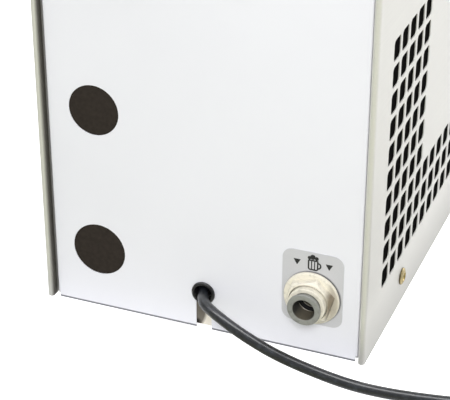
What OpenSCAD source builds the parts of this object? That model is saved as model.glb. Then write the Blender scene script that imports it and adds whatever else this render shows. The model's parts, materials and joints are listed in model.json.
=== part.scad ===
// Countertop draft beer dispenser: a dry cooler in a sheet-metal casing.
// Millimetres. The front, with its tap and drip tray, faces -Y. The back, with
// the beer inlet and the mains lead, faces +Y. The table top is z = 0.

/* [Casing] */
// Width over the two side panels
casing_w = 193; // [184:1:220]
// Depth of the side panels from front edge to rear edge
casing_d = 300; // [296:1:330]
// Height of the casing's top edge above the table
casing_top = 352; // [350:1:380]
// Thickness of the casing sheet
sheet = 0.6; // [0.5:0.1:1]
// Gap under the side panels
side_gap = 7.5; // [7:0.5:9]
// Thickness of the folded hem on the side panels' edges
hem_t = 3.8; // [3.4:0.1:4]
// Depth of the folded hem
hem_d = 10; // [8:1:12]
// Gap between a hem and the panel inside it
panel_gap = 1.3; // [1:0.1:1.8]
// How far the rear panel sits inside the hems
rear_recess = 4.2; // [3:0.1:6]
// How far the front panel sits inside the hems
front_recess = 2; // [1:0.1:4]
// Height of the rear panel's lower edge
panel_low = 6; // [5:0.5:7]
// Width of the folded flange round a panel
flange_d = 12; // [8:1:14]
// Height of the base plate's underside above the table
base_z = 8; // [8:0.5:10]
// Thickness of the base plate
base_t = 1.2; // [1:0.1:2]
// Height of the base plate's side flanges
base_flange = 22; // [20:1:26]
// Height of the base plate's rear lip
base_lip = 14; // [12:0.5:14]

/* [Vents] */
// Spacing of the vent holes
vent_pitch = 15.05; // [14:0.05:15.2]
// Width of one square vent hole
vent_hole = 12; // [8:0.1:12.2]
// Corner radius of a vent hole
vent_r = 2.5; // [1:0.1:4]
// Height of the lowest row of vent holes
vent_low = 46.5; // [43:0.1:47]
// Distance of the first column from the rear panel
vent_from_rear = 29; // [28:0.5:34]
// Columns of holes along the side
vent_columns = 16; // [14:1:16]
// Columns in each upright of the vent pattern
vent_upright = 5; // [3:1:6]
// Rows of holes
vent_rows = 10; // [6:1:10]
// Rows in the band that joins the uprights
vent_band = 3; // [2:1:4]

/* [Rear fittings] */
// Sideways distance of the round ports from the middle
port_x = 63.5; // [60:0.5:68]
// Radius of the lower port
port_low_r = 16; // [10:0.1:16.5]
// Radius of the upper port
port_high_r = 14.9; // [10:0.1:16.5]
// Height of the lower port
port_low_z = 43.5; // [40:0.5:48]
// Height of the upper port
port_high_z = 131; // [110:0.5:150]
// Sideways distance of the cable hole from the middle
cable_x = 0.6; // [0:0.1:4]
// Height of the cable hole
cable_z = 29.7; // [28:0.1:32]
// Radius of the cable hole in the panel
cable_hole_r = 6.2; // [6:0.1:6.5]
// Width of the slot below the cable hole
cable_slot_w = 9.2; // [8:0.1:10]
// Sideways distance of the beer inlet from the middle
inlet_x = 64.5; // [60:0.5:66]
// Height of the beer inlet
inlet_z = 42; // [38:0.5:46]
// Radius of the beer tube that the inlet takes
tube_r = 6; // [5.8:0.05:6.2]
// Radius of the inlet's threaded neck
inlet_neck_r = 10.6; // [10.4:0.1:10.8]
// How far the inlet's release collet stands out from the rear panel
inlet_reach = 15; // [14:0.5:18]
// Release travel of the collet
collet_travel = 2; // [1:0.1:2.5]
// Width of the inlet label
label_w = 35; // [34:0.5:38]
// Height of the inlet label
label_h = 45; // [40:0.5:50]
// Corner radius of the inlet label
label_r = 6; // [2:0.5:8]
// Thickness of the inlet label
label_t = 0.3; // [0.2:0.05:0.5]
// Height of the controls on the rear panel
control_z = 222; // [219:0.5:222]
// Sideways distance of the thermostat from the middle
thermostat_x = 45; // [42:0.5:50]
// Radius of the thermostat knob
knob_r = 14; // [12:0.5:15]
// Sideways distance of the power switch from the middle
switch_x = 18; // [15:0.5:25]

/* [Cooling] */
// Radius of the compressor shell
compressor_r = 52; // [48:0.5:53]
// Height of the compressor shell
compressor_h = 126; // [110:1:140]
// Sideways place of the compressor
compressor_x = 27; // [26:0.5:30]
// Length of the condenser along the side
condenser_l = 150; // [140:1:154]
// Height of the condenser
condenser_h = 150; // [140:1:160]
// Width of the condenser's fins
condenser_w = 26; // [24:1:28]
// Number of condenser fins
fin_count = 22; // [10:1:26]
// Passes of the condenser tube
condenser_passes = 5; // [3:2:5]
// Size of the square fan frame
fan_size = 120; // [110:1:120]
// Depth of the fan frame
fan_d = 25; // [20:1:30]
// Height of the shelf that carries the cold block
shelf_z = 234; // [234:0.5:238]
// Width of the cold block
block_w = 156; // [150:1:160]
// Height of the cold block
block_h = 62; // [56:1:62]
// Thickness of the foam under the cold block
foam_floor = 20.8; // [18:0.1:24]
// Thickness of the foam over the cold block
foam_roof = 24; // [18:1:26]

/* [Tap and drip tray] */
// Radius of the shank between cold block and tap
shank_r = 8; // [7:0.5:9]
// Reach of the spout's axis from the front panel
spout_reach = 74; // [70:1:80]
// Length of the spout below the tap's axis
spout_drop = 76; // [60:1:80]
// Outer radius of the spout
spout_r = 7; // [6.5:0.1:8]
// Outer radius of the tap body
tap_r = 13; // [13:0.5:15]
// Length of the handle grip
grip_l = 86; // [60:1:110]
// Largest radius of the handle grip
grip_r = 13; // [10:0.5:15]
// Reach of the drip tray in front of the casing
tray_reach = 150; // [130:1:170]
// Width of the drip tray
tray_w = 176; // [150:1:178]
// Height of the drip tray
tray_h = 30; // [26:1:34]
// Corner radius of the drip tray
tray_r = 14; // [10:1:20]
// Wall of the drip tray
tray_wall = 1.2; // [1:0.1:1.5]
// Depth of the grid below the tray's rim
grid_drop = 3; // [2:0.5:4]

/* [Mains lead] */
// Diameter of the mains lead
cord_d = 6.2; // [6:0.1:6.3]
// Whole turns of the coil in each of its two layers
coil_whole_turns = 3; // [2:1:3]
// Radius of the coil's outermost turn
coil_r = 47; // [47:0.5:50]

/* [Hidden] */
$fn = 48;

// Clearances
fit = 0.05;
gap = 0.3;
cut = 1;

// Front to back: the whole depth is centred on y = 0
inlet_proud = inlet_reach - rear_recess;
total_d = tray_reach + casing_d + inlet_proud;
front_y = tray_reach - total_d / 2;
rear_y = front_y + casing_d;
panel_y = rear_y - rear_recess;
panel_in_y = panel_y - sheet;
face_y = front_y + front_recess;
face_in_y = face_y + sheet;

// Widths inside the casing
side_in_x = casing_w / 2 - sheet;
panel_w = casing_w - 2 * (hem_t + panel_gap);
base_top = base_z + base_t;

// Finishes
steel = "#d9dad8";
white = "#eff0f1";
chrome = "#dfe3e6";
black = "#1d1d1f";
ivory = "#e8e2d0";
zinc = "#c3a54b";
copper = "#b87352";
alloy = "#c9ccce";
foam = "#3a3c3f";

// A square with round corners, centred
module rounded_square(w, h, r) {
    square([w - 2 * r, h], center = true);
    square([w, h - 2 * r], center = true);
    for (x = [-1, 1], y = [-1, 1])
        translate([x * (w / 2 - r), y * (h / 2 - r)]) circle(r);
}

// A lift along +Z
module up(z) translate([0, 0, z]) children();

// A cylinder from a point along +X, +Y or -Z
module bar_x(p, r, l) translate(p) rotate([0, 90, 0]) cylinder(r = r, h = l);
module bar_y(p, r, l) translate(p) rotate([-90, 0, 0]) cylinder(r = r, h = l);
module bar_down(p, r, l) translate([p[0], p[1], p[2] - l]) cylinder(r = r, h = l);

// A box between two corners
module block(a, b) translate(a) cube(b - a);

// A hexagonal prism along Z, by its width across flats
module hex_prism(across, h) cylinder(r = across / sqrt(3), h = h, $fn = 6);

// A pan-head screw with a cross recess: head on z = 0, shank down
screw_r = 2;
screw_head_r = 5;
screw_head_h = 1.8;
screw_crown = 0.76;
recess_l = 5;
recess_w = 1.1;
recess_d = 1.1;
module pan_screw(l) {
    difference() {
        union() {
            cylinder(r1 = screw_head_r, r2 = screw_head_r * screw_crown, h = screw_head_h);
            up(-l) cylinder(r = screw_r, h = l);
        }
        for (a = [0, 90])
            rotate(a) translate([-recess_l / 2, -recess_w / 2, screw_head_h - recess_d])
                cube([recess_l, recess_w, recess_d + cut]);
    }
}

// Swept tubes: points smoothed through a route, then a ring of corners at each
function unit(v) = v / norm(v);
function smooth_at(a, b, c, d, t) =
    0.5 * (2 * b + (c - a) * t + (2 * a - 5 * b + 4 * c - d) * t * t + (3 * b - a - 3 * c + d) * t * t * t);
// The first and last stretch stay straight, so that ends meet face to face
function smooth(p, steps) = let (n = len(p) - 1) concat(
    [p[0]],
    [for (i = [1:n - 2], k = [0:steps - 1]) smooth_at(p[i - 1], p[i], p[i + 1], p[i + 2], k / steps)],
    [p[n - 1], p[n]]);
function heading(p, i) = unit(p[min(i + 1, len(p) - 1)] - p[max(i - 1, 0)]);
function across(n, t) = unit(n - (n * t) * t);
function sides_of(p) = [
    for (i = 0, n = across(abs(heading(p, 0)[2]) > 0.9 ? [1, 0, 0] : [0, 0, 1], heading(p, 0));
        i < len(p);
        i = i + 1, n = i < len(p) ? across(n, heading(p, i)) : n) n];
function total(v) = v * [for (x = v) 1];
function path_length(p) = total([for (i = [1:len(p) - 1]) norm(p[i] - p[i - 1])]);

module tube(p, r, sides) {
    n = sides_of(p);
    last = len(p) - 1;
    corners = [for (i = [0:last], j = [0:sides - 1])
        let (a = 360 * j / sides, t = heading(p, i))
        p[i] + r * (cos(a) * n[i] + sin(a) * cross(t, n[i]))];
    walls = [for (i = [0:last - 1], j = [0:sides - 1], half = [0, 1])
        let (k = (j + 1) % sides, a = i * sides, b = a + sides)
        half == 0 ? [a + j, b + j, b + k] : [a + j, b + k, a + k]];
    caps = [for (j = [1:sides - 2], end = [0, 1])
        end == 0 ? [0, j, j + 1] : [last * sides, last * sides + j + 1, last * sides + j]];
    polyhedron(points = corners, faces = concat(walls, caps));
}

// Casing

module vent_holes() {
    for (i = [0:vent_columns - 1], j = [0:vent_rows - 1])
        if (j < vent_band || i < vent_upright || i >= vent_columns - vent_upright)
            translate([panel_y - vent_from_rear - i * vent_pitch, vent_low + j * vent_pitch])
                rounded_square(vent_hole, vent_hole, vent_r);
}

// Side screws, near the bottom of each side panel
side_screw_up = 17.3;
side_screw_z = base_z + side_screw_up;
side_screw_in = 65;
side_screw_ys = [panel_y - side_screw_in, front_y + rear_recess + side_screw_in];

// Top flange of a side panel
bend_r = 5;
top_flange = 16;

// The side panel at +X: a sheet with hemmed front and rear edges and a bent top
module side_panel() {
    difference() {
        translate([side_in_x, 0, 0]) rotate([90, 0, 90]) linear_extrude(sheet) difference() {
            translate([front_y + hem_t / 2, side_gap])
                square([casing_d - hem_t, casing_top - bend_r - side_gap]);
            vent_holes();
        }
        for (y = side_screw_ys)
            bar_x([side_in_x - cut, y, side_screw_z], screw_r + gap, sheet + 2 * cut);
    }
    hem_x = casing_w / 2 - hem_t / 2;
    for (s = [0, 1])
        translate([hem_x, s == 0 ? front_y + hem_t / 2 : rear_y - hem_t / 2, side_gap]) {
            cylinder(r = hem_t / 2, h = casing_top - bend_r - side_gap);
            translate([-hem_t / 2, s == 0 ? 0 : hem_t / 2 - hem_d, 0])
                cube([hem_t, hem_d - hem_t / 2, casing_top - bend_r - side_gap]);
        }
    translate([casing_w / 2 - bend_r, front_y + hem_t / 2, casing_top - bend_r]) rotate([-90, -90, 0])
        rotate_bend(bend_r, casing_d - hem_t);
    difference() {
        block([casing_w / 2 - top_flange, front_y + hem_t / 2, casing_top - sheet],
            [casing_w / 2 - bend_r, rear_y - hem_t / 2, casing_top]);
        for (y = top_screw_ys)
            bar_down([top_screw_x, y, casing_top + cut], screw_r + fit, sheet + 2 * cut);
    }
}

// A quarter bend of the sheet, with its outer radius, carried along its edge
module rotate_bend(r, l) {
    linear_extrude(l) intersection() {
        difference() {
            circle(r);
            circle(r - sheet);
        }
        square(r);
    }
}

module right_side_panel() color(steel) side_panel();
module left_side_panel() color(steel) mirror([1, 0, 0]) side_panel();

// Rear panel
knob_shaft_r = 3;
thermostat_bush_r = 5;
switch_w = 13;
switch_h = 19;
panel_top = casing_top - sheet - gap;
neck_hole_r = inlet_neck_r + gap;

// A panel with its two upright edges bent inward into flanges
panel_bend = 1.2;
module panel_pan(low, y, inward) {
    half = panel_w / 2;
    flat = half - panel_bend;
    bend_y = y + inward * panel_bend;
    end_y = y + inward * flange_d;
    flange_low = base_top + gap;
    block([-flat, min(y, y + inward * sheet), low], [flat, max(y, y + inward * sheet), panel_top]);
    for (s = [-1, 1]) {
        block([s == 1 ? half - sheet : -half, min(bend_y, end_y), flange_low],
            [s == 1 ? half : sheet - half, max(bend_y, end_y), panel_top]);
        translate([s * flat, bend_y, flange_low]) rotate(inward == 1 ? 225 + s * 45 : 45 - s * 45)
            rotate_bend(panel_bend, panel_top - flange_low);
    }
}

module rear_panel() color(white) difference() {
    panel_pan(panel_low, panel_y, -1);
    for (p = [[port_low_z, port_low_r], [port_high_z, port_high_r]])
        bar_y([port_x, panel_y - 2 * sheet, p[0]], p[1], 4 * sheet);
    bar_y([-inlet_x, panel_y - 2 * sheet, inlet_z], neck_hole_r, 4 * sheet);
    bar_y([-cable_x, panel_y - 2 * sheet, cable_z], cable_hole_r, 4 * sheet);
    block([-cable_x - cable_slot_w / 2, panel_y - 2 * sheet, panel_low - cut],
        [-cable_x + cable_slot_w / 2, panel_y + sheet, cable_z]);
    bar_y([thermostat_x, panel_y - 2 * sheet, control_z], thermostat_bush_r + gap, 4 * sheet);
    block([-switch_x - switch_w / 2 - gap, panel_y - 2 * sheet, control_z - switch_h / 2 - gap],
        [-switch_x + switch_w / 2 + gap, panel_y + sheet, control_z + switch_h / 2 + gap]);
}

// Front panel, with the shank hole and two pins that locate the drip tray
foam_front = 42;
foam_rear = 24;
block_front_y = front_y + foam_front;
block_rear_y = panel_y - foam_rear;
shelf_t = 1.2;
foam_low = shelf_z + shelf_t;
block_low = foam_low + foam_floor;
tap_z = block_low + block_h / 2;
tray_pin_r = 3;
tray_pin_in = 26;
tray_pin_x = tray_w / 2 - tray_pin_in;
tray_pin_z = 17;
tray_pin_l = 7;
face_low = base_z;

module front_panel() color(steel) {
    difference() {
        panel_pan(face_low, face_y, 1);
        bar_y([0, face_y - sheet, tap_z], shank_r + gap, 3 * sheet);
    }
    for (s = [-1, 1])
        bar_y([s * tray_pin_x, front_y - tray_pin_l, tray_pin_z], tray_pin_r, tray_pin_l + front_recess);
}

// Top panel, laid on the side panels' flanges
top_inset = 6;
top_t = 1.2;
top_r = 8;
top_screw_in = 11;
top_screw_end = 24;
top_screw_x = casing_w / 2 - top_screw_in;
top_screw_ys = [front_y + top_screw_end, rear_y - top_screw_end];

module top_panel() color(steel) up(casing_top) linear_extrude(top_t) difference() {
    translate([0, (front_y + rear_y) / 2])
        rounded_square(casing_w - 2 * top_inset, casing_d - 2 * top_inset, top_r);
    for (s = [-1, 1], y = top_screw_ys)
        translate([s * top_screw_x, y]) circle(screw_r + gap);
}

top_screw_past = 3;
top_screw_l = top_t + sheet + top_screw_past;
module top_screws() color(zinc)
    for (s = [-1, 1], y = top_screw_ys)
        translate([s * top_screw_x, y, casing_top + top_t]) pan_screw(top_screw_l);

side_screw_past = 2.5;
side_screw_l = sheet + base_t + side_screw_past;
module side_screws() color(zinc)
    for (s = [-1, 1], y = side_screw_ys)
        translate([s * casing_w / 2, y, side_screw_z]) rotate([0, s * 90, 0]) pan_screw(side_screw_l);

// Base plate with side flanges, a rear lip and the compressor's studs
foot_x = 66;
foot_front = 36;
foot_rear = 52;
foot_ys = [front_y + foot_front, rear_y - foot_rear];
foot_screw_r = 2;
compressor_in = 73;
compressor_y = panel_y - compressor_in;
leg_x = 36;
leg_y = 58;
stud_r = 3;
base_front_y = face_in_y + flange_d + gap;
lip_x = panel_w / 2 - panel_bend - gap;

module base_plate() color(alloy) difference() {
    union() {
        block([-side_in_x, base_front_y, base_z], [side_in_x, rear_y - hem_d - gap, base_top]);
        block([-panel_w / 2, 0, base_z], [panel_w / 2, panel_in_y, base_top]);
        block([-panel_w / 2 + gap, face_in_y, base_z], [panel_w / 2 - gap, base_front_y, base_top]);
        block([-lip_x, panel_in_y - base_t, base_z],
            [lip_x, panel_in_y, min(base_z + base_lip, cable_z - grommet_lip_r - gap)]);
        for (s = [-1, 1])
            block([s == 1 ? side_in_x - base_t : -side_in_x, front_y + hem_d + gap, base_z],
                [s == 1 ? side_in_x : base_t - side_in_x, rear_y - hem_d - gap, base_z + base_flange]);
    }
    for (s = [-1, 1], y = foot_ys)
        bar_down([s * foot_x, y, base_top + cut], foot_screw_r + gap, base_t + 2 * cut);
    for (s = [-1, 1], y = side_screw_ys)
        bar_x([s * side_in_x - 2 * base_t, y, side_screw_z], screw_r + fit, 4 * base_t);
    for (x = [-1, 1], y = [-1, 1])
        bar_down([compressor_x + x * leg_x, compressor_y + y * leg_y, base_top + cut],
            stud_r + fit, base_t + 2 * cut);
}

// Feet, their screws and nuts
foot_r = 11;
foot_tip_r = 9;
foot_pocket_r = 5.5;
foot_pocket_h = 4.5;
foot_head_r = 4;
foot_head_h = 2;
foot_nut_h = 3.2;
foot_nut_af = 7;

module rubber_feet() color(black)
    for (s = [-1, 1], y = foot_ys)
        translate([s * foot_x, y, 0]) difference() {
            cylinder(r1 = foot_tip_r, r2 = foot_r, h = base_z);
            up(-cut) cylinder(r = foot_pocket_r, h = foot_pocket_h + cut);
            up(foot_pocket_h - cut) cylinder(r = foot_screw_r + gap, h = base_z);
        }

module foot_screws() color(zinc)
    for (s = [-1, 1], y = foot_ys)
        translate([s * foot_x, y, foot_pocket_h]) rotate([180, 0, 0]) {
            cylinder(r = foot_head_r, h = foot_head_h);
            up(-(base_top - foot_pocket_h + foot_nut_h))
                cylinder(r = foot_screw_r, h = base_top - foot_pocket_h + foot_nut_h);
        }

module foot_nuts() color(zinc)
    for (s = [-1, 1], y = foot_ys)
        translate([s * foot_x, y, base_top]) difference() {
            hex_prism(foot_nut_af, foot_nut_h);
            up(-cut) cylinder(r = foot_screw_r + fit, h = foot_nut_h + 2 * cut);
        }

// Beer inlet: a push-in bulkhead union through the rear panel

module at_inlet() translate([-inlet_x, panel_y, inlet_z]) rotate([-90, 0, 0]) children();

label_up = 5.5;
label_mid_z = inlet_z + label_up;
module inlet_label() color("#d0d0d4")
    at_inlet() translate([0, inlet_z - label_mid_z, 0]) linear_extrude(label_t) difference() {
        rounded_square(label_w, label_h, label_r);
        translate([0, label_mid_z - inlet_z]) circle(neck_hole_r);
    }
inlet_rim_r = 11.5;
inlet_inner_l = 22;
inlet_hex_t = 5;
inlet_hex_af = 28;
inlet_stop_r = 4.8;
socket_r = tube_r + gap / 3;
collet_flange_t = 1.8;
collet_flange_r = 9.4;
collet_sleeve_r = 7.9;
sleeve_bore_r = collet_sleeve_r + gap;
sleeve_l = 6;
inlet_end = inlet_reach - collet_flange_t - collet_travel - gap;
ring_r = 1.15;

module inlet_body() color(ivory) at_inlet() difference() {
    union() {
        up(-inlet_inner_l)
            cylinder(r = inlet_rim_r, h = inlet_inner_l - sheet - inlet_hex_t);
        up(-sheet - inlet_hex_t) hex_prism(inlet_hex_af, inlet_hex_t);
        up(-sheet) cylinder(r = inlet_neck_r, h = sheet + inlet_end);
    }
    up(-inlet_inner_l - cut)
        cylinder(r = inlet_stop_r, h = inlet_inner_l + inlet_end + 2 * cut);
    up(inlet_end - socket_l) cylinder(r = socket_r, h = socket_l + cut);
    up(inlet_end - sleeve_l - collet_travel - 2 * ring_r - gap)
        cylinder(r = sleeve_bore_r, h = sleeve_l + collet_travel + 2 * ring_r + gap + cut);
    up(-inlet_inner_l - cut) cylinder(r = socket_r, h = elbow_stem_l + cut);
}
socket_l = 18;
elbow_stem_l = 12;

inlet_nut_af = 24.4;
inlet_nut_turn = 15.5;
inlet_nut_flange_r = 15.9;
inlet_nut_flange_t = 2.4;
inlet_nut_h = 5;
inlet_nut_l = inlet_nut_flange_t + inlet_nut_h;
module inlet_nut() color(ivory) at_inlet() up(label_t) difference() {
    union() {
        cylinder(r = inlet_nut_flange_r, h = inlet_nut_flange_t);
        up(inlet_nut_flange_t) rotate(inlet_nut_turn) hex_prism(inlet_nut_af, inlet_nut_h);
    }
    up(-cut) cylinder(r = inlet_neck_r + fit, h = inlet_nut_l + 2 * cut);
}

module inlet_collet() color("#7d807e") at_inlet() difference() {
    union() {
        up(inlet_reach - collet_flange_t) cylinder(r = collet_flange_r, h = collet_flange_t);
        up(inlet_end - sleeve_l)
            cylinder(r = collet_sleeve_r, h = sleeve_l + inlet_reach - inlet_end - cut);
    }
    up(inlet_end - sleeve_l - cut) cylinder(r = socket_r, h = sleeve_l + inlet_reach + cut);
}

module inlet_o_ring() color(black) at_inlet()
    up(inlet_end - sleeve_l - collet_travel - ring_r - gap)
        rotate_extrude() translate([sleeve_bore_r - ring_r - fit, 0]) circle(ring_r);

// Elbow on the inlet's inner end, and the tube up to the cold block
elbow_r = 10;
elbow_neck_r = 9;
elbow_clear = 3;
elbow_y = panel_y - inlet_inner_l - elbow_r - elbow_clear;
elbow_h = 26;
line_wall = 1.6;
line_bore_r = tube_r - line_wall;
elbow_stop = 8;
module inlet_elbow() color(ivory) difference() {
    union() {
        bar_y([-inlet_x, elbow_y, inlet_z], tube_r, panel_y - inlet_inner_l + elbow_stem_l - elbow_y);
        bar_y([-inlet_x, elbow_y, inlet_z], elbow_neck_r, panel_y - inlet_inner_l - elbow_y);
        translate([-inlet_x, elbow_y, inlet_z - elbow_r]) cylinder(r = elbow_r, h = elbow_r + elbow_h);
    }
    bar_y([-inlet_x, elbow_y, inlet_z], line_bore_r, panel_y - elbow_y);
    translate([-inlet_x, elbow_y, inlet_z]) cylinder(r = line_bore_r, h = elbow_h + cut);
    translate([-inlet_x, elbow_y, inlet_z + elbow_stop]) cylinder(r = socket_r, h = elbow_h);
}

line_in_block = 12;
module beer_line() color("#e9ecee") difference() {
    translate([-inlet_x, elbow_y, inlet_z + elbow_stop])
        cylinder(r = tube_r, h = block_low + line_in_block - inlet_z - elbow_stop);
    translate([-inlet_x, elbow_y, inlet_z]) cylinder(r = line_bore_r, h = block_low + line_in_block);
}

// Mains lead
cord_r = cord_d / 2;
grommet_lip = 0.7;
grommet_slack = 2;
grommet_lip_r = cable_hole_r + grommet_lip;
grommet_lip_t = 1.8;
grommet_bore_r = cord_r + grommet_slack;

module cable_grommet() color(black) translate([-cable_x, panel_y, cable_z]) rotate([-90, 0, 0]) difference() {
    union() {
        cylinder(r = grommet_lip_r, h = grommet_lip_t);
        up(-sheet) cylinder(r = cable_hole_r - fit, h = sheet);
        up(-sheet - grommet_lip_t) cylinder(r = grommet_lip_r, h = grommet_lip_t);
    }
    up(-sheet - grommet_lip_t - cut)
        cylinder(r = grommet_bore_r, h = sheet + 2 * grommet_lip_t + 2 * cut);
}

// Route of the free lead: sideways from its hole, out from the rear panel, and
// its height as a share of the hole's height over a lead lying on the table
cord_route = [
    [0, 0, 1], [-1.6, 5, 1.004], [-5.3, 11.2, 1.011], [-11, 16, 1.011], [-18, 20.2, 0.985],
    [-27, 23.4, 0.896], [-38, 24.8, 0.735], [-49.5, 24.2, 0.537], [-61, 22.4, 0.351], [-73, 20.3, 0.187],
    [-85, 18.9, 0.067], [-97, 18.5, 0.011], [-110, 18.2, 0], [-123, 17.1, 0], [-136, 15.2, 0],
    [-149, 12.7, 0], [-162, 10, 0.012], [-175, 7.6, 0.039], [-187, 6.2, 0.056], [-195, 6.2, 0.056]
];
cord_clear = 0.1;
cord_rest_z = cord_r + cord_clear;
function from_hole(p) = [for (q = p)
    [q[0] - cable_x, panel_y + q[1], cord_rest_z + q[2] * (cable_z - cord_rest_z)]];
cord_path = from_hole(smooth(cord_route, 2));

module mains_cord() color(black) tube(cord_path, cord_r, 10);

// Coil: two layers of turns, in along the lower one and out along the upper one
// The part turn brings the far end round to face the plug
coil_part_turn = 0.625;
coil_turns = coil_whole_turns + coil_part_turn;
coil_rings = 24;
turn_gap = 0.8;
layer_gap = 0.6;
coil_step = cord_d + turn_gap;
layer_step = cord_d + layer_gap;
cord_end = cord_path[len(cord_path) - 1];
coil_start = cord_end - [cord_d, 0, 0];
coil_mid = coil_start - [0, coil_r, 0];
function climb(u) = let (t = min(max((u - coil_turns) * 2 + 0.5, 0), 1)) t * t * (3 - 2 * t);
function coil_at(u) =
    let (r = coil_r - coil_step * (coil_turns - abs(u - coil_turns)), a = 90 + 360 * u)
    [coil_mid[0] + r * cos(a), coil_mid[1] + r * sin(a), coil_start[2] + layer_step * climb(u)];
coil_end = coil_at(2 * coil_turns) - [0, cord_d, 0];
coil_path = concat(
    [cord_end], [for (i = [0:2 * coil_turns * coil_rings]) coil_at(i / coil_rings)], [coil_end]);
// Rings closer along the lead than this are neighbours, not other turns
near_rings = 14;
coil_gap = min([for (i = [0:len(coil_path) - 1], j = [i + near_rings:1:len(coil_path) - 1])
    norm(coil_path[i] - coil_path[j])]) - cord_d;
echo(coil_least_gap = coil_gap);

module mains_cord_coil() color(black) tube(coil_path, cord_r, 6);

// Tail from the coil to the plug, which lies on the table in front of the coil
plug_r = 17;
plug_l = 36;
relief_l = 26;
relief_wall = 1.2;
relief_taper = 2.4;
relief_tip_r = cord_r + relief_wall;
tail_l = 34;
plug_y = coil_end[1] - tail_l;
tail_path = smooth([
    coil_end, coil_end - [0, 6, 0], coil_end + [0, -14, 1.5], [coil_end[0], plug_y + 7, plug_r],
    [coil_end[0], plug_y, plug_r]
], 2);
echo(cord_length = path_length(cord_path) + path_length(coil_path) + path_length(tail_path));

module mains_cord_tail() color(black) tube(tail_path, cord_r, 10);

module at_plug() translate([coil_end[0], plug_y, plug_r]) rotate([90, 0, 0]) children();

module plug_body() color(black) at_plug() {
    cylinder(r1 = relief_tip_r, r2 = relief_tip_r + relief_taper, h = relief_l);
    up(relief_l) rotate_extrude() polygon([
        [0, 0], [plug_r - 6, 0], [plug_r - 3, 5], [plug_r - 4.5, 14], [plug_r - 1, 22], [plug_r, 25],
        [plug_r, plug_l], [0, plug_l]
    ]);
}

pin_r = 2.4;
pin_l = 19;
pin_spacing = 19;
module plug_pins() color(chrome) at_plug()
    for (s = [-1, 1])
        translate([s * pin_spacing / 2, 0, relief_l + plug_l]) cylinder(r = pin_r, h = pin_l);

tie_t = 1;
tie_w = 9;
tie_gap = 0.35;
tie_in = coil_r - coil_step * coil_turns - cord_r - tie_gap;
tie_out = coil_r + cord_r + tie_gap;
tie_low = coil_start[2] - cord_r - tie_gap;
tie_high = coil_start[2] + layer_step + cord_r + tie_gap;
module coil_tie() color("#4a4d52") translate([coil_mid[0] - tie_w / 2, coil_mid[1], 0]) difference() {
    block([0, -tie_out - tie_t, tie_low - tie_t], [tie_w, -tie_in + tie_t, tie_high + tie_t]);
    block([-cut, -tie_out, tie_low], [tie_w + cut, -tie_in, tie_high]);
}

// Controls
switch_d = 20;
bezel = 2;
rocker_sunk = 1;
rocker_well = 10;
rocker_swing = 1;
rocker_axis_y = panel_y - rocker_sunk;
module power_switch_body() color(black) difference() {
    union() {
        block([-switch_x - switch_w / 2, panel_y - switch_d, control_z - switch_h / 2],
            [-switch_x + switch_w / 2, panel_y + bezel, control_z + switch_h / 2]);
        block([-switch_x - switch_w / 2 - bezel, panel_y, control_z - switch_h / 2 - bezel],
            [-switch_x + switch_w / 2 + bezel, panel_y + bezel, control_z + switch_h / 2 + bezel]);
    }
    block([-switch_x - rocker_w / 2 - gap, panel_y - rocker_well, control_z - rocker_h / 2 - rocker_swing],
        [-switch_x + rocker_w / 2 + gap, panel_y + bezel + cut, control_z + rocker_h / 2 + rocker_swing]);
    bar_x([-switch_x - switch_w, rocker_axis_y, control_z], rocker_pin_r + fit, 2 * switch_w);
}

rocker_w = 9.4;
rocker_h = 15;
rocker_pin_r = 1.2;
rocker_tilt = 7;
module power_switch_rocker() color(black) {
    bar_x([-switch_x - switch_w / 2, rocker_axis_y, control_z], rocker_pin_r, switch_w);
    translate([-switch_x - rocker_w / 2, rocker_axis_y, control_z]) rotate([90, 0, 90])
        linear_extrude(rocker_w) rotate(-rocker_tilt) polygon([
            [-4, -4], [1.5, -rocker_h / 2], [5, -rocker_h / 2 + 0.6], [3.8, 0], [5, rocker_h / 2 - 0.6],
            [1.5, rocker_h / 2], [-4, 4]
        ]);
}

thermostat_w = 44;
thermostat_h = 22;
thermostat_d = 24;
knob_gap = 1.2;
knob_h = 13;
dial_t = 0.4;
dial_rim = 8;
dial_r = knob_r + dial_rim;
shaft_hole = 10;
module thermostat_body() color("#c9c9c6") difference() {
    union() {
        block([thermostat_x - thermostat_w / 2, panel_in_y - thermostat_d, control_z - thermostat_h / 2],
            [thermostat_x + thermostat_w / 2, panel_in_y, control_z + thermostat_h / 2]);
        bar_y([thermostat_x, panel_in_y, control_z], thermostat_bush_r, sheet + dial_t);
    }
    bar_y([thermostat_x, panel_in_y - shaft_hole, control_z], knob_shaft_r + fit, 2 * shaft_hole);
}

module thermostat_dial() color(white)
    translate([thermostat_x, panel_y, control_z]) rotate([-90, 0, 0]) difference() {
        cylinder(r = dial_r, h = dial_t);
        up(-cut) cylinder(r = thermostat_bush_r + gap, h = dial_t + 2 * cut);
    }

knob_skirt_h = 5;
knob_taper = 1.5;
knob_rib_w = 8;
knob_rib_in = 2.5;
knob_rib_r = 3.5;
flute_count = 18;
flute_r = 1.2;
flute_out = 0.6;
flute_stop = 1;
shaft_in = 8;
shaft_root = 0.5;
module thermostat_knob() color(black)
    translate([thermostat_x, panel_y + dial_t + knob_gap, control_z]) rotate([-90, 0, 0]) {
        difference() {
            union() {
                cylinder(r1 = knob_r, r2 = knob_r - knob_taper, h = knob_skirt_h);
                up(knob_skirt_h / 2) linear_extrude(knob_h - knob_skirt_h / 2)
                    rounded_square(knob_rib_w, 2 * (knob_r - knob_rib_in), knob_rib_r);
            }
            for (i = [0:flute_count - 1])
                rotate(360 * i / flute_count) translate([knob_r + flute_out, 0, -cut])
                    cylinder(r = flute_r, h = knob_skirt_h - flute_stop + cut);
        }
        up(-knob_gap - dial_t - sheet - shaft_in)
            cylinder(r = knob_shaft_r, h = knob_gap + dial_t + sheet + shaft_in + shaft_root);
    }

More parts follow.
